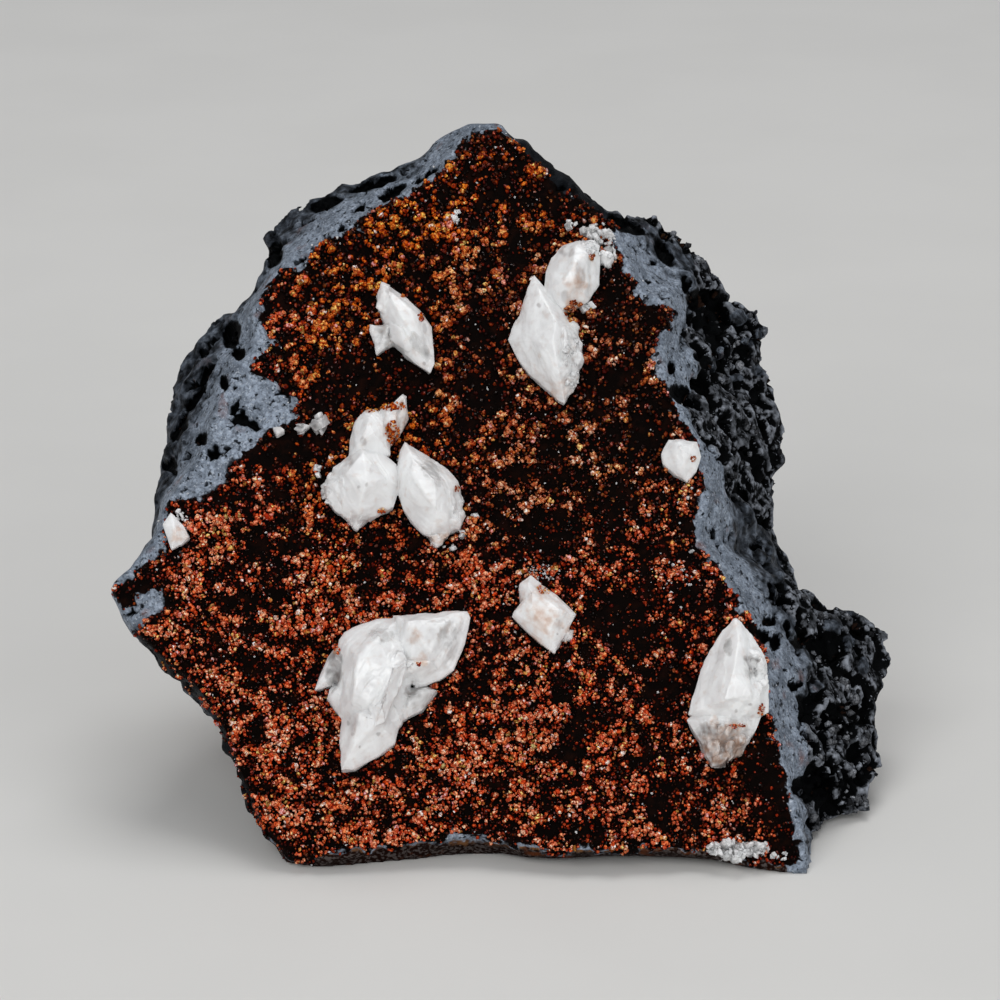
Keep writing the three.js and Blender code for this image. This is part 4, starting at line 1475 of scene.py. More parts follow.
@dataclass
class Druse:
    """The coat of rust-red grains, in five pieces from the top of the face to its foot, and
    a sixth piece of grains that have grown on the crystals."""

    bedding: Bedding
    stock: tuple[list[np.ndarray], np.ndarray]
    ground: Ground
    spacing: float = 0.3
    cover: float = 20.0  # grains to the square mm where they have grown on crystals
    seed: int = 20
    bands: tuple[tuple[str, float, float], ...] = (
        ("druse_top", 24.0, 60.0),
        ("druse_upper", 8.0, 24.0),
        ("druse_middle", -7.0, 8.0),
        ("druse_lower", -22.0, -7.0),
        ("druse_foot", -60.0, -22.0),
    )
    hollows: tuple[Oval, ...] = (
        Oval(-12.8, 14.2, 5.6, 3.2), Oval(-20.9, 6.8, 3.8, 2.2), Oval(-2.2, 12.6, 2.9, 2.5),
        Oval(6.6, 35.3, 4, 2.2), Oval(16.5, 9.1, 2.2, 3.8), Oval(5.8, -3.4, 3.7, 2.1),
        Oval(-14.3, -7.3, 1, 4), Oval(14.6, -15.8, 2.8, 2), Oval(30.4, -36, 1.5, 5),
        Oval(6.6, 6, 2.1, 1.3), Oval(19.8, 17, 1.5, 2.2),
        Oval(-25.3, 5.1, 3, 1.6), Oval(-38.5, -11.4, 2.9, 2.4), Oval(11, 13.7, 2.8, 2),
        Oval(7.7, -27.9, 1.6, 2.2), Oval(12.6, 24.7, 1.5, 2.6),
        Oval(-26.7, -5.3, 1.1, 1.6), Oval(-22.9, -5.3, 1.6, 0.8), Oval(-31.5, -8.8, 0.8, 0.9),
        Oval(-29, -12, 1.9, 1.2), Oval(-24.6, -11.2, 2.1, 1.5), Oval(-26.8, -18.6, 2, 1.2),
        Oval(11.8, -12.8, 3, 3), Oval(12.2, 0.2, 3.4, 2), Oval(9.6, -24.8, 2.2, 2),
        Oval(9.6, -37.2, 2, 1.8), Oval(27.9, -30, 2.4, 2.8), Oval(-0.6, -16.5, 1.6, 1.6),
        Oval(-2.2, 19.1, 2.8, 1.8), Oval(20.8, -11.4, 1.6, 2), Oval(20, -15.8, 1.2, 1.6),
        Oval(-3.7, -21.9, 1.6, 1.5), Oval(1.6, 28.6, 1.3, 2.2), Oval(-3.9, 8.2, 1.4, 1.2),
        Oval(14.7, 15, 1.3, 1.9), Oval(17.4, -21.6, 1.6, 3), Oval(1.4, 38.2, 1.3, 1.5),
        Oval(-1.4, 34.6, 1.3, 2), Oval(17.4, -33.8, 1.2, 2.2), Oval(-19.6, 10.9, 1.7, 1.5),
        Oval(7.5, 2.4, 2.6, 1.2), Oval(12.1, 6.8, 1.2, 1.8), Oval(1.6, 2.8, 2, 1.1),
        Oval(1.6, -5.6, 1.2, 1.1), Oval(7, -21, 1.6, 1.6), Oval(-26.4, -26, 1, 1.4),
    )
    # Painted highlights: the pale lit tints of the brightest grains, for three parts of the face.
    lit_tints: tuple[str, str, str] = ("#FFCCA2", "#F8AC48", "#FFD6B4")
    embers: tuple[str, str, str] = ("#F87B3F", "#EE7E14", "#E2985C")
    rusts: tuple[str, str, str] = ("#D4440E", "#C24C04", "#AC521C")
    deeps: tuple[str, str] = ("#5E1402", "#421C04")
    black: str = "#0B0301"
    # Odd tints of a few bright grains; the pale cream and yellow ones also stand in for painted
    # glints.
    strays: tuple[tuple[str, float, float], ...] = (
        ("#EEB45C", 0.0, 0.06), ("#F6E6D6", 0.07, 0.035), ("#E8968C", 0.12, 0.03),
        ("#8A6E2A", 0.15, 0.04),
    )
    plain: float = 0.36  # growth half way up the face
    loss: float = 0.5  # growth that the middle of a hollow lacks
    gain: float = 0.22  # growth that the middle of a thick place has over its surroundings
    start: float = 0.22  # growth that a grain needs
    lone: float = 0.14  # share of the places in the hollows that have a dim grain
    fade: tuple[float, float, float] = (0.7, 1.7, 2.4)  # green and blue fade faster than red towards a grain's foot, so its painted shade is deep red
    # Share of the facets painted as glints.
    glints: float = 0.09
    thick: tuple[Oval, ...] = (
        Oval(-32.6, -4.8, 3.4, 3.6), Oval(-35, -15.4, 2.2, 3), Oval(-5.2, 30, 2.2, 3.4),
        Oval(2, -27, 5, 4), Oval(-13.2, -32.4, 3, 2.4), Oval(-4.4, -8.2, 3.6, 2.8),
        Oval(-23.4, -37, 3, 2.8), Oval(4, -33.6, 2.8, 2.6), Oval(-4.8, 25.4, 2.5, 2.8),
        Oval(-20, 20.4, 2.4, 2.8), Oval(-23.4, -2.6, 3.6, 2.4), Oval(6.9, 32.4, 2.6, 2),
        Oval(-21.2, -10.8, 3.2, 4.2), Oval(-26, -25.4, 2.8, 3), Oval(-4, -30.4, 2.6, 3.4),
        Oval(-14.2, -8.4, 1.8, 1.8), Oval(-1.2, -11, 1.6, 1.4), Oval(-13.8, 30.4, 1.9, 1.7),
        Oval(-18.2, 26, 2.4, 2), Oval(4.4, -20.6, 1.8, 1.8), Oval(-27.5, 2.7, 1.5, 1.4),
        Oval(-11.7, -38, 1.8, 1.4), Oval(-7.8, 32.8, 2.2, 1.8), Oval(-31, -5.6, 2.4, 1.8),
    )

    def build(self, rusty: Sequence[Oval]) -> list[bpy.types.Object]:
        """Models and dresses the coat.

        Args:
            rusty: Places where grains have grown on crystals.

        Returns:
            Its six pieces.
        """
        chance = np.random.default_rng(self.seed)
        material = GrainFinish().material()
        spots = self.grid(chance)
        growth = self.growth(spots)
        keep = growth + 0.3 * chance.uniform(-1, 1, len(growth)) > self.start
        keep |= chance.random(len(growth)) < self.lone
        spots, growth = spots[keep], growth[keep]
        landed, kept = self.bedding.drop(spots)
        landed, growth = landed[kept], growth[kept]
        inside = self.ground.druse(landed) > 0
        landed, growth = landed[inside], growth[inside]
        # How bright each grain is painted, partly its own tone and partly painted light: where
        # growth is thick the grains stand higher and are brighter, and at the edges of clumps and
        # in hollows they are darker, as shaded.
        shine = smooth(0.36, 0.84, growth + 0.16 * chance.uniform(-1, 1, len(growth)))
        shine = np.maximum(shine, 0.42 * chance.random(len(growth)) ** 1.7)
        radii = self.radii(landed, shine, chance) * (1 + 0.2 * smooth(0.5, 0.95, growth))
        landed[:, 2] += 0.4 * radii + 0.9 * np.clip(growth - 0.35, 0, 0.6)
        tints = self.tints(landed, shine, chance)
        # How much of its tint each grain keeps at its foot in painted shade: more where the grains
        # grow thick.
        foot_light = 0.12 + 0.4 * smooth(0.45, 0.95, growth)
        pieces = []
        for name, low, high in self.bands:
            band = (landed[:, 1] >= low) & (landed[:, 1] < high)
            points = FACE.points(landed[band])
            piece = scatter_mesh(name, self.stock, points, radii[band], tints[band], chance,
                                 foot_light[band], self.fade, self.glints)
            finish_piece(piece, material)
            pieces.append(piece)
        pieces.append(self.on_crystals(rusty, material, chance))
        return pieces

    def on_crystals(
        self, rusty: Sequence[Oval], material: bpy.types.Material, chance: np.random.Generator
    ) -> bpy.types.Object:
        """Models the grains that have grown on crystals.

        Args:
            rusty: Where they stand.
            material: Limonite grains.
            chance: Source of random numbers.

        Returns:
            The piece.
        """
        spots = [o.scatter(int(self.cover * math.pi * o.rx * o.ry) + 1, chance) for o in rusty]
        landed = self.bedding.drop_on_crystals(np.concatenate(spots))
        shine = chance.uniform(0.36, 0.76, len(landed))
        radii = self.radii(landed, shine, chance) * 0.8
        tints = self.tints(landed, shine, chance)
        # The grains' feet keep 0.4 of their tint, in painted shade.
        piece = scatter_mesh("druse_on_calcite", self.stock, FACE.points(landed), radii, tints,
                             chance, 0.4, self.fade)
        finish_piece(piece, material)
        return piece

    def grid(self, chance: np.random.Generator) -> np.ndarray:
        """A jittered grid of places inside the druse.

        Args:
            chance: Source of random numbers.

        Returns:
            x and y of each place on the face.
        """
        low, high = np.min(DRUSE_EDGE, axis=0), np.max(DRUSE_EDGE, axis=0)
        xs = np.arange(low[0], high[0], self.spacing)
        ys = np.arange(low[1], high[1], self.spacing)
        spots = np.array(np.meshgrid(xs, ys)).reshape(2, -1).T
        spots += chance.uniform(-0.8, 0.8, spots.shape) * self.spacing
        return spots[depth_inside(spots, DRUSE_EDGE) > -1]

    def growth(self, spots: np.ndarray) -> np.ndarray:
        """How thickly the grains grow at each place: over about a half they shine.

        Args:
            spots: x and y of each place on the face.

        Returns:
            A value for each, mostly from 0 to 1.
        """
        x, y = spots.T
        growth = self.plain + 0.1 * smooth(2, -16, y)  # thicker towards the foot
        growth -= 0.07 * smooth(10, 20, y) + 0.03 * smooth(20, 26, y)  # thinner at the top
        growth -= 0.03 * (smooth(-14, -20, x) + smooth(9, 15, x))  # and at both sides
        growth -= 0.05 * smooth(10, 18, x) * smooth(-20, -28, y)  # and at the lower right
        growth += 0.2 * lattice_noise(spots, 2.9, 1) + 0.26 * lattice_noise(spots, 0.7, 5)
        growth += 0.95 * (0.5 - nearest_seed(spots, 1.6, 2))  # round clumps with gaps between
        for hollow in self.hollows:
            growth -= self.loss * hollow.cover(spots)
        for clump in self.thick:
            growth += self.gain * clump.cover(spots)
        return growth

    def radii(
        self, landed: np.ndarray, shine: np.ndarray, chance: np.random.Generator
    ) -> np.ndarray:
        """Radius of each grain in mm: coarser towards the top.

        Args:
            landed: The grains in the face's frame.
            shine: How bright each one is.
            chance: Source of random numbers.

        Returns:
            The radii.
        """
        coarse = smooth(-8, 14, landed[:, 1])
        size = (0.18 + 0.05 * coarse) * (0.8 + 0.3 * shine)
        return size * chance.uniform(0.5, 1.4, len(landed))

    def tints(
        self, landed: np.ndarray, shine: np.ndarray, chance: np.random.Generator
    ) -> np.ndarray:
        """Colours the grains by how bright each is painted, from almost black through rust to a
        bright tint of painted highlight.

        Args:
            landed: The grains in the face's frame.
            shine: How bright each one is.
            chance: Source of random numbers.

        Returns:
            Linear red, green and blue of each grain.
        """
        patch = 0.25 * lattice_noise(landed[:, :2], 4.5, 8)
        low = np.clip(smooth(4, -10, landed[:, 1]) + smooth(-18, -28, landed[:, 0]) + patch, 0, 1)
        left = smooth(2, -12, landed[:, 0]) + smooth(26, 34, landed[:, 1]) + patch
        left = np.clip(left, 0, 1) * (1 - low)
        shares = np.column_stack([low, left, 1 - low - left])
        lit_tints, embers, rusts = (
            shares @ np.array([linear(c)[:3] for c in colours])
            for colours in (self.lit_tints, self.embers, self.rusts)
        )
        lit_tints = embers + (lit_tints - embers) * (chance.random(len(landed)) ** 1.3)[:, None]
        earthy, reddish, black = (
            np.array(linear(c)[:3]) for c in (self.deeps[1], self.deeps[0], self.black)
        )
        deep = np.where(chance.random(len(landed))[:, None] < 0.5, earthy, reddish)
        # How far each bright grain goes towards its painted highlight tint.
        glow = chance.random(len(landed)) ** 0.9
        tint = black + (deep - black) * smooth(0, 0.25, shine)[:, None]
        tint = tint + (rusts - tint) * smooth(0.2, 0.6, shine)[:, None]
        tint = tint + (lit_tints - tint) * (glow * smooth(0.35, 0.8, shine))[:, None]
        odd = chance.random(len(landed))
        for colour, start, share in self.strays:
            picked = (odd > start) & (odd < start + share)
            pull = (0.85 * picked * smooth(0.2, 0.7, shine))[:, None]
            tint = tint + (np.array(linear(colour)[:3]) - tint) * pull
        return tint


@dataclass
class CharcoalKnobs:
    """Rounded goethite knobs that stand in the hollows of the charcoal side."""

    stone: bpy.types.Object
    stock: tuple[list[np.ndarray], np.ndarray]
    ground: Ground
    share: float = 0.3  # of the places where a knob could stand
    seed: int = 47
    light: str = "#A0A3A9"
    dark: str = "#101114"

    def build(self) -> bpy.types.Object:
        """Models and dresses the knobs.

        Returns:
            The knobs in one piece.
        """
        chance = np.random.default_rng(self.seed)
        points, normals = positions(self.stone), vertex_normals(self.stone)
        places = FACE.places(points)
        charcoal = self.ground.shares(places, normals)[:, 2]
        cluster = 0.6 * lattice_noise(places, 3.4, 41) + 0.6 * lattice_noise(places, 1.5, 42)
        faces_us = smooth(0.3, 0.75, normals @ FACE.axes()[2])
        likely = self.share * smooth(-0.1, 0.6, cluster) * (charcoal > 0.6) * faces_us
        kept = chance.random(len(points)) < likely
        points, cluster, faces_us = points[kept], cluster[kept], faces_us[kept]
        radii = chance.uniform(0.1, 0.46, len(points)) * (0.9 + 0.5 * cluster)
        radii *= 0.3 + 0.7 * faces_us
        bright = chance.random(len(points)) ** 1.4 * smooth(0, 0.5, cluster)
        light, dark = (np.array(linear(c)[:3]) for c in (self.light, self.dark))
        tints = dark + (light - dark) * bright[:, None]
        # Each knob keeps half its tint at its foot, in painted shade.
        piece = scatter_mesh("charcoal_knobs", self.stock, points, radii, tints, chance, 0.5,
                             facets=0.2)
        shade_smooth(piece)
        finish_piece(piece, GrainFinish("goethite_knobs", "#8A8D92").material())
        return piece


# ---- the calcite --------------------------------------------------------------------------


class Mark(Enum):
    """A kind of mark on a crystal, and the channel that it is painted in."""

    CLEAR = 0
    RUST = 1
    GREY = 2


@dataclass(frozen=True)
class Spot:
    """A mark on a crystal: its kind, an oval and how strong it is."""

    mark: Mark
    oval: Oval
    strength: float = 1.0


def spot(
    mark: Mark, x: float, y: float, rx: float, ry: float, strength: float = 1.0, turn: float = 0
) -> Spot:
    """A mark at x and y with two radii, all in mm on the face, and its turn in degrees."""
    return Spot(mark, Oval(x, y, rx, ry, turn), strength)


@dataclass
class CalciteGroup:
    """One group of dogtooth crystals that grew together on the druse."""

    node: str
    spots: tuple[Spot, ...] = ()
    lines: float = 90.0  # degrees from x that the growth lines run in on the face
    rough: tuple[Oval, ...] = ()  # where the crystals are broken or sugary
    lump: float = 0.5  # height of the lumps there
    block: float = 0.0  # height of the cleavage steps there
    gap: float = 0.0  # mm that a rough place sinks between its lumps
    missing: tuple[Oval, ...] = ()  # where a corner has broken off
    heal: int = 24  # rounds of smoothing in the creases where crystals have grown together
    break_depth: float = 5.0  # mm that a broken corner goes down, into the druse
    cell: float = 0.15  # largest size of a face of the finished mesh
    root_depth: float = 0.9  # mm that the foot is let into the stone
    foot: float = 0.6  # height of the foot over the stone

    def build(
        self, frame: dict[str, Any], stone: bpy.types.Object, material: bpy.types.Material
    ) -> bpy.types.Object:
        """Models and dresses the group.

        Args:
            frame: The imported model.
            stone: The finished block.
            material: Calcite.

        Returns:
            The group.
        """
        name = self.node.replace("calcite_", "") + "_calcite"
        piece = merged_copy(frame["nodes"][self.node], name)
        depth = math.ceil(math.log2(max(piece.dimensions) / (self.cell * MM)))
        apply_modifier(piece, "REMESH", mode="SHARP", octree_depth=depth, scale=0.99)
        self.root(piece, stone)
        self.roughen(piece)
        self.mark(piece)
        shade_smooth(piece)
        finish_piece(piece, material, self.node)
        return piece

    def root(self, piece: bpy.types.Object, stone: bpy.types.Object) -> None:
        """Lets the foot of the group into the stone.

        Args:
            piece: The group.
            stone: The finished block.
        """
        tree = BVHTree.FromObject(stone, bpy.context.evaluated_depsgraph_get())
        points = positions(piece)
        near = np.array([tree.find_nearest(Vector(p))[3] for p in points]) / MM
        sunk = self.root_depth * (1 - smooth(self.foot * 0.8, self.foot * 1.6, near))
        set_positions(piece, points - FACE.axes()[2] * sunk[:, None] * MM)

    def along_lines(self, places: np.ndarray) -> np.ndarray:
        """Places squeezed along the growth lines, so that noise over them is drawn out.

        Args:
            places: Places in the face's frame.

        Returns:
            The squeezed places.
        """
        turn = math.radians(self.lines)
        along = places[:, 0] * math.cos(turn) + places[:, 1] * math.sin(turn)
        across = places[:, 1] * math.cos(turn) - places[:, 0] * math.sin(turn)
        return np.column_stack([along / 5, across, places[:, 2]])

    def roughen(self, piece: bpy.types.Object) -> None:
        """Gives the faces growth lines, steps and slight waves, and the rough places lumps.

        Args:
            piece: The group.
        """
        weigh(piece, "creases", smooth(0.015, 0.08, -proudness(piece)))
        apply_modifier(piece, "SMOOTH", factor=0.5, iterations=self.heal, vertex_group="creases")
        piece.vertex_groups.clear()
        points = positions(piece)
        places = FACE.places(points)
        drawn_out = self.along_lines(places)
        steps = terraces(2.5 * lattice_noise(drawn_out, 0.9, 51), 0.3, 0.7)
        height = 0.07 * steps + 0.06 * lattice_noise(places, 1.9, 52)
        height += 0.02 * lattice_noise(places, 0.5, 53)
        broken = most_cover(self.rough, FACE.painted(places))
        lumps = 0.7 * nearest_seed(places, 1.6, 54) + 0.3 * nearest_seed(places, 0.7, 56)
        blocks = terraces(3 * lattice_noise(drawn_out, 1.7, 57), 0.38, 0.62)
        height += broken * (self.lump * (0.42 - lumps) + self.block * blocks)
        sunk = self.gap * broken * smooth(0.5, 0.62, nearest_seed(places, 1.5, 58))
        broken_off = most_cover(self.missing, strayed(places, 0.5, 0.9, 35), 0.2)
        sunk = np.maximum(sunk, self.break_depth * broken_off)
        points = points + vertex_normals(piece) * height[:, None] * MM
        set_positions(piece, points - FACE.axes()[2] * sunk[:, None] * MM)

    def mark(self, piece: bpy.types.Object) -> None:
        """Paints the marks: glassy windows, rust and grey veils.

        Args:
            piece: The group.
        """
        places = FACE.places(positions(piece))
        painted = strayed(places, 0.2, 0.7, 31)
        streaks = lattice_noise(self.along_lines(places), 0.5, 33)
        streaks = 0.7 + 0.3 * (streaks + lattice_noise(places, 0.45, 34))
        colours = np.zeros((len(places), 4))
        for mark in self.spots:
            cover = mark.strength * mark.oval.cover(painted)
            if mark.mark is not Mark.RUST:
                cover = np.clip(cover * streaks, 0, 1)
            channel = mark.mark.value
            colours[:, channel] = np.maximum(colours[:, channel], cover)
        colours[:, 3] = 1
        paint(piece, "marks", colours)


CLEAR, RUST, GREY = Mark.CLEAR, Mark.RUST, Mark.GREY
FAINT = 0.55  # a rusty mark no stronger than this is a stain without grains

GROUPS: tuple[CalciteGroup, ...] = (
    CalciteGroup("calcite_upper_left", (
        spot(GREY, -12.2, 23.7, 0.2, 0.8, 0.7), spot(CLEAR, -8.8, 17.6, 0.7, 1.8, 0.9, 30),
        spot(GREY, -8.4, 15.7, 0.2, 0.2), spot(GREY, -8.3, 19.7, 0.25, 0.6, 0.7),
        spot(RUST, -10.7, 23.4, 0.3, 0.3), spot(RUST, -8.7, 21.2, 0.4, 0.6, 0.8),
        spot(CLEAR, -13.1, 18.5, 1.1, 1.9, 0.6),
    ), lines=-62,
       rough=(Oval(-13.2, 18.6, 1.4, 2), Oval(-13.4, 21.6, 0.6, 1.2)), lump=0.6),
    CalciteGroup("calcite_upper_pair", (
        spot(GREY, 3.2, 20.6, 2.4, 5, 0.3), spot(GREY, 4.3, 22.2, 0.25, 0.25),
        spot(GREY, 7.9, 15.8, 1.2, 4.4, 0.5), spot(RUST, 6.9, 12.2, 1.6, 1.8, 0.3),
        spot(GREY, 7.4, 28.7, 1.1, 0.7, 0.8), spot(RUST, 8.6, 24.8, 1.4, 1.8, 0.45),
        spot(RUST, 10.2, 27.9, 0.4, 0.4), spot(RUST, 9.3, 24.7, 0.6, 0.6, 0.5),
        spot(GREY, 8.8, 25.8, 0.7, 1.5, 0.9), spot(RUST, 8.2, 21.7, 1.1, 1.3),
        spot(GREY, 7.3, 23.4, 0.5, 0.8, 0.8),
    ), lines=-76,
       rough=(Oval(8.1, 15.6, 1.6, 4.6),), lump=0.8),
    CalciteGroup("calcite_middle_cluster", (
        spot(RUST, -10.8, 9.2, 1.6, 2.6, 0.4), spot(RUST, -11.8, 7.6, 0.8, 1.4),
        spot(RUST, -11.7, 10.7, 1.6, 0.5, 0.6),
        spot(RUST, -14.2, 10.3, 0.8, 0.3), spot(GREY, -15, 6.6, 0.4, 0.6),
        spot(GREY, -14.6, 1.8, 0.25, 0.25), spot(GREY, -15.3, 1.5, 0.2, 0.2),
        spot(GREY, -14, 3.5, 0.25, 0.6, 0.7), spot(GREY, -16.6, 4.4, 0.6, 0.7, 0.7),
        spot(GREY, -15.2, -2.2, 1.3, 0.6, 0.7), spot(RUST, -12.9, -1.2, 0.6, 0.3),
        spot(CLEAR, -7.6, 3.3, 0.8, 2, 0.7, 30), spot(GREY, -9.6, 3.9, 0.25, 0.7, 0.6),
        spot(CLEAR, -4, 0.3, 0.5, 0.9), spot(RUST, -4.7, 1.2, 0.35, 0.4),
        spot(RUST, -6.4, -4.4, 1.4, 0.6, 0.55),
    ), lines=-60,
       rough=(Oval(-18.7, 1.8, 1.5, 3.6), Oval(-15.5, -2.7, 3, 1.2), Oval(-4.4, -1.6, 1, 3),
              Oval(-11.6, 9, 1, 3), Oval(-7, -4.4, 2, 1.2)), lump=0.8, gap=0.5),
    CalciteGroup("calcite_right_edge", (spot(RUST, 21.2, 4.6, 0.3, 0.3),)),
    CalciteGroup("calcite_lower_fan", (
        spot(CLEAR, -17.9, -18.9, 0.9, 2.2, 1.4), spot(RUST, -17.7, -16.9, 0.4, 0.4),
        spot(GREY, -9, -15.3, 0.8, 1, 0.6), spot(RUST, -8.5, -18, 0.7, 0.8, 0.54),
        spot(GREY, -7.4, -13.8, 0.5, 0.3, 0.6), spot(GREY, -5.9, -17.1, 0.9, 1.8, 0.5),
        spot(CLEAR, -12.7, -15, 1.4, 1.1, 0.5), spot(GREY, -15.6, -24.9, 0.7, 1.1, 0.6),
        spot(GREY, -15.8, -26, 0.2, 0.2), spot(GREY, -16.3, -24.8, 0.2, 0.2),
        spot(GREY, -15.1, -27.4, 0.2, 0.2), spot(GREY, -13.1, -26, 0.2, 0.2),
        spot(CLEAR, -8.6, -22.2, 1.8, 1.7, 0.8), spot(CLEAR, -5.5, -15, 1.2, 1.6, 0.5),
        spot(GREY, -6.3, -16, 2.6, 2.4, 0.5), spot(GREY, -17.7, -18.7, 0.6, 1.8, 1.5),
        spot(RUST, -9, -15.4, 0.8, 0.9, 0.45), spot(RUST, -8.8, -18.2, 0.3, 0.3, 0.6),
    ), lines=55,
       rough=(Oval(-12.3, -20.5, 3, 4), Oval(-11.2, -17.8, 1.8, 1.6)), lump=0.25, block=0.22),
    CalciteGroup("calcite_small_rhomb", (
        spot(RUST, 4.9, -10, 1, 0.6, 0.7), spot(RUST, 4.5, -13.8, 1.2, 1.6, 0.55),
        spot(GREY, 6.3, -13.9, 0.7, 0.7, 0.6), spot(RUST, 4, -16, 1.6, 0.6, 0.5, -40),
        spot(RUST, 7.4, -14.6, 0.4, 0.5, 0.5), spot(RUST, 5, -12.4, 3.2, 3.4, 0.3),
        spot(GREY, 6.1, -13.3, 0.15, 0.2), spot(GREY, 6.9, -14.3, 0.15, 0.15),
        spot(GREY, 6.2, -15, 0.15, 0.15), spot(GREY, 5.6, -14.3, 0.15, 0.15),
    ), lines=-45),
    CalciteGroup("calcite_right_dogtooth", (
        spot(GREY, 23.8, -17.4, 0.6, 0.8, 0.6), spot(CLEAR, 24.7, -16.5, 0.5, 1.1, 0.8),
        spot(GREY, 26.8, -17.5, 0.7, 0.4, 0.6), spot(GREY, 25.4, -23.4, 0.2, 0.2),
        spot(GREY, 26.9, -22.9, 0.2, 0.2), spot(RUST, 28.2, -23.4, 0.4, 0.6),
        spot(RUST, 23.1, -24.8, 0.5, 0.7, 0.5), spot(RUST, 24.5, -25.6, 1.1, 0.5, 0.5),
        spot(CLEAR, 23.4, -27.5, 3.2, 2.6), spot(GREY, 26.5, -24.7, 0.9, 0.7, 0.5),
        spot(GREY, 24.4, -27.4, 3.4, 2.8), spot(RUST, 25.6, -25.4, 0.7, 0.5, 0.55),
        spot(RUST, 25.3, -13.9, 0.6, 0.5, 0.35), spot(RUST, 24.3, -27.6, 2.6, 2.4, 0.5),
        spot(CLEAR, 27.2, -18.6, 1.2, 1.4, 0.8), spot(RUST, 25.5, -25.2, 0.9, 0.3, 0.6),
    ), lines=84,
       rough=(Oval(24.6, -27.4, 3.2, 3), Oval(28, -19.5, 1, 2.4)), lump=0.8, block=0.15,
       gap=0.5, missing=(Oval(27.7, -28.4, 2.6, 0.9, 55), Oval(24.6, -29.6, 0.3, 0.9, -5))),
    CalciteGroup("calcite_left_chip", (spot(RUST, -35.2, -4, 0.9, 0.9, 0.5),)),
    CalciteGroup("calcite_upper_crust", (spot(GREY, 11.5, 29.7, 0.3, 0.3),),
                 rough=(Oval(11, 30, 8, 8),), lump=1.2, block=0.5, gap=2.2),
    CalciteGroup("calcite_lower_crust", rough=(Oval(24.4, -39, 4, 8),), lump=1.3, block=0.3,
                 gap=1.8),
)


@dataclass(frozen=True)
class Strewn:
    """A patch of chips: where it lies, how many there are, their size and what they lie on."""

    oval: Oval
    count: int
    size: float
    on_crystal: bool = False


@dataclass
class SugarCrust:
    """Small white cleavage chips and glints of calcite, strewn over the druse, the two crusts
    and the broken faces of the crystals."""

    bedding: Bedding
    stock: tuple[list[np.ndarray], np.ndarray]
    seed: int = 31
    glints: int = 420
    patches: tuple[Strewn, ...] = (
        Strewn(Oval(4.6, -8.2, 1.9, 1.1), 60, 0.13), Strewn(Oval(-19.9, 8.5, 0.1, 0.1), 1, 0.9),
        Strewn(Oval(-21.8, 8.1, 0.1, 0.1), 1, 0.8), Strewn(Oval(-24.4, 7.7, 0.1, 0.1), 1, 0.6),
        Strewn(Oval(-3.9, -3.8, 0.4, 0.5), 3, 0.4),
        Strewn(Oval(-2.9, -1.7, 0.3, 0.5), 3, 0.35), Strewn(Oval(11.3, 30, 1.9, 2.2), 50, 0.28),
        Strewn(Oval(25.6, -38.8, 3.4, 0.8), 80, 0.34),
        Strewn(Oval(30.1, -39.5, 0.9, 0.5), 12, 0.3),
        Strewn(Oval(-5, 32.8, 0.5, 0.7), 5, 0.45), Strewn(Oval(-35, -2.5, 0.9, 1.2), 14, 0.3),
        Strewn(Oval(9.9, 22.2, 0.7, 1.0), 6, 0.55), Strewn(Oval(20, 1, 1.5, 1.5), 9, 0.22),
        Strewn(Oval(19.5, -8, 3, 3), 26, 0.17), Strewn(Oval(8, 32, 0.6, 0.5), 5, 0.4),
        Strewn(Oval(11.3, 30, 2, 2.4), 34, 0.34, True),
        Strewn(Oval(25.6, -38.8, 3.6, 1.2), 60, 0.34, True),
        Strewn(Oval(7.9, 15.8, 0.8, 4.2), 24, 0.3, True),
        Strewn(Oval(-19, 1.2, 0.3, 1.4), 6, 0.4), Strewn(Oval(-6.2, -5.1, 1.4, 0.5), 9, 0.36),
        Strewn(Oval(-19.1, 1.6, 0.5, 2.4), 6, 0.5, True),
        Strewn(Oval(-19.9, 3.4, 0.3, 0.8), 3, 0.5), Strewn(Oval(-20, 8.6, 0.6, 0.7), 9, 0.6),
        Strewn(Oval(-21.9, 7.9, 0.4, 0.6), 5, 0.5), Strewn(Oval(9.8, 31.2, 0.5, 0.5), 6, 0.5),
    )
    veiled: tuple[Oval, ...] = (Oval(-21.9, 8.3, 3.4, 1.8), Oval(9.7, 31.3, 0.9, 0.7))

    def build(self, material: bpy.types.Material) -> bpy.types.Object:
        """Models and dresses the chips.

        Args:
            material: Calcite.

        Returns:
            The chips in one piece.
        """
        chance = np.random.default_rng(self.seed)
        low, high = np.min(DRUSE_EDGE, axis=0), np.max(DRUSE_EDGE, axis=0)
        places = [chance.uniform(low, high, size=(self.glints, 2))]
        sizes = [chance.uniform(0.06, 0.15, self.glints)]
        raised = []
        raised_sizes = []
        for patch in self.patches:
            spots = patch.oval.scatter(patch.count, chance)
            size = patch.size * chance.uniform(0.5, 1.2, patch.count)
            if patch.on_crystal:
                landed = self.bedding.drop_on_crystals(spots)
                raised.append(landed)
                raised_sizes.append(size[: len(landed)])
            else:
                places.append(spots)
                sizes.append(size)
        spots, size = np.concatenate(places), np.concatenate(sizes)
        landed, kept = self.bedding.drop(spots)
        kept &= depth_inside(spots, DRUSE_EDGE) > -1.5
        landed, size = landed[kept], size[kept]
        landed[:, 2] += 0.5 * size + 0.22
        landed = np.concatenate([landed, *raised])
        size = np.concatenate([size, *raised_sizes])
        white = np.ones((len(landed), 3))
        piece = scatter_mesh("sugar_calcite", self.stock, FACE.points(landed), size, white, chance)
        marks = np.zeros((len(piece.data.vertices), 4))
        painted = FACE.painted(FACE.places(positions(piece)))
        marks[:, GREY.value] = most_cover(self.veiled, painted)
        paint(piece, "marks", marks)
        finish_piece(piece, material)
        return piece


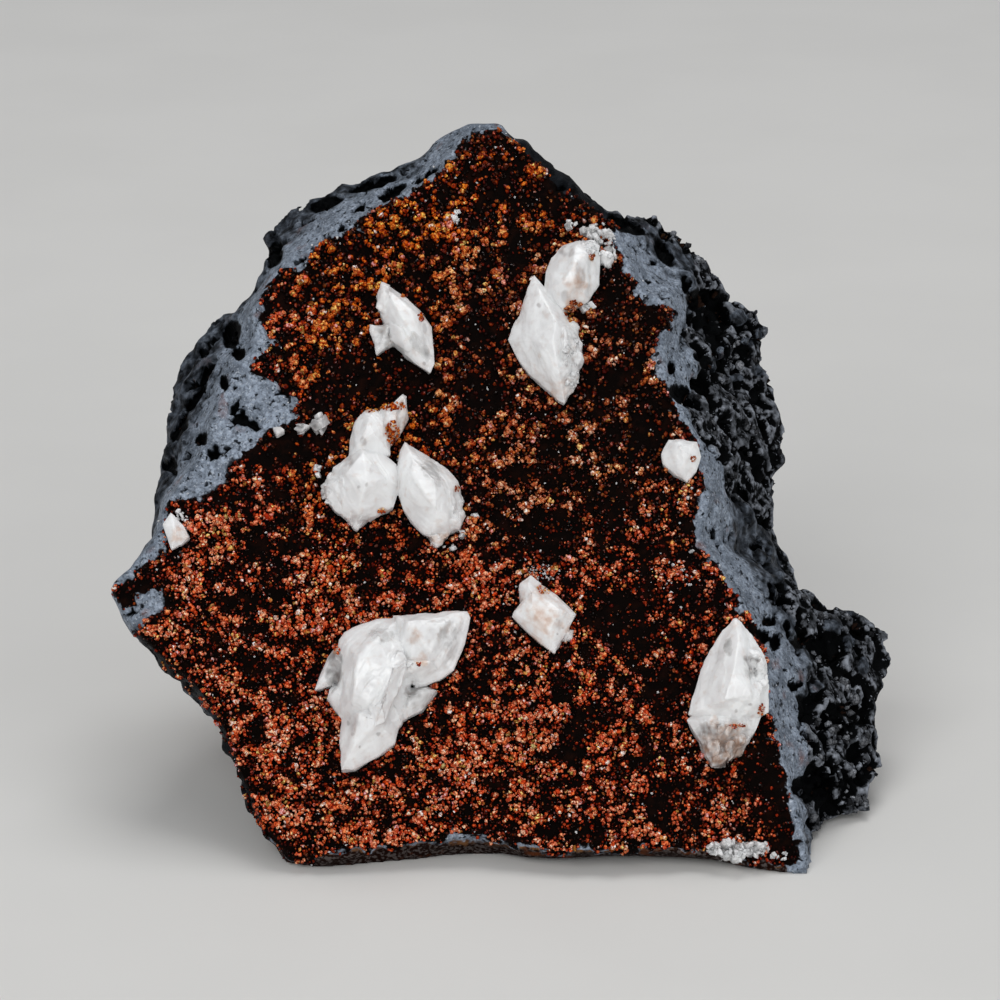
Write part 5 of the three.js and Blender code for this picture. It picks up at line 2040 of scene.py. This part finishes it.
# ---- the studio ---------------------------------------------------------------------------


@dataclass(frozen=True)
class SoftLight:
    """A square soft light: its place and side in metres, its power in watts."""

    name: str
    place: tuple[float, float, float]
    side: float
    power: float

    def hang(self, target: tuple[float, float, float]) -> None:
        """Hangs the light and turns it to a place in metres.

        Args:
            target: The place.
        """
        data = bpy.data.lights.new(self.name, "AREA")
        data.size, data.energy = self.side, self.power
        lamp = bpy.data.objects.new(self.name, data)
        lamp.location = self.place
        aim = Vector(target) - lamp.location
        lamp.rotation_euler = aim.to_track_quat("-Z", "Y").to_euler()
        bpy.context.scene.collection.objects.link(lamp)


@dataclass
class Studio:
    """The camera, three soft lights, a pale room and the floor, in metres and degrees."""

    distance: float = 0.45
    elevation: float = 20.0
    lens: float = 147.3  # mm
    sensor: float = 36.0  # mm
    near: float = 0.01
    floor_size: float = 6.0
    room: str = "#E4E6EA"
    room_light: float = 0.4
    lit_place: tuple[float, float, float] = (0.0, 0.0, 0.03)  # where the lights look
    lights: tuple[SoftLight, ...] = (
        SoftLight("key", (-0.4, -0.8, 0.65), 0.7, 5.0),
        SoftLight("fill", (0.7, -0.75, 0.3), 0.7, 3.2),
        SoftLight("top", (0.1, 0.25, 1.0), 0.6, 3.4),
    )

    def build(self) -> None:
        """Sets up the room round the specimen."""
        self.place_camera()
        self.lay_floor()
        self.fill_room()
        for light in self.lights:
            light.hang(self.lit_place)

    def place_camera(self) -> None:
        """Aims the camera at the middle of the druse."""
        angle = math.radians(self.elevation)
        target = Vector(FACE.origin) * MM
        away = Vector((0, -math.cos(angle), math.sin(angle))) * self.distance
        data = bpy.data.cameras.new("camera")
        data.lens, data.sensor_width = self.lens, self.sensor
        data.clip_start = self.near
        camera = bpy.data.objects.new("camera", data)
        camera.location = target + away
        camera.rotation_euler = (math.pi / 2 - angle, 0, 0)
        bpy.context.scene.collection.objects.link(camera)
        bpy.context.scene.camera = camera

    def lay_floor(self) -> None:
        """Lays the pale floor that the specimen rests on."""
        bpy.ops.object.select_all(action="DESELECT")
        bpy.ops.mesh.primitive_plane_add(size=self.floor_size)
        floor = bpy.context.object
        floor.name = "floor"
        floor.data.materials.append(PaperFinish().material())

    def fill_room(self) -> None:
        """Fills the room with soft pale light."""
        world = bpy.data.worlds.new("room")
        world.use_nodes = True
        world.node_tree.nodes.clear()
        light = add_node(world.node_tree, "Background",
                         {"Color": linear(self.room), "Strength": self.room_light})
        add_node(world.node_tree, "OutputWorld", {"Surface": light.outputs[0]})
        scene = bpy.context.scene
        scene.world = world
        scene.view_settings.view_transform = "Standard"


# ---- the specimen -------------------------------------------------------------------------


def main(frame: dict[str, Any]) -> None:
    """Builds the specimen and the studio round it.

    Args:
        frame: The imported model.
    """
    logging.basicConfig(level=logging.INFO, format="%(asctime)s %(message)s", stream=sys.stdout)
    Studio().build()
    stone = LimoniteBlock().build(frame)
    calcite = CalciteFinish().material()
    crystals = [group.build(frame, stone, calcite) for group in GROUPS]
    bedding = Bedding(stone, crystals)
    stock = GrainStock().build()
    rusty = [mark.oval for group in GROUPS for mark in group.spots
             if mark.mark is Mark.RUST and mark.strength > FAINT]
    Druse(bedding, stock, Ground()).build(rusty)
    CharcoalKnobs(stone, stock, Ground()).build()
    SugarCrust(bedding, GrainStock(Habit.RHOMB, unevenness=0.28).build()).build(calcite)


if __name__ == "__main__":
    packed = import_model()
    main(packed)
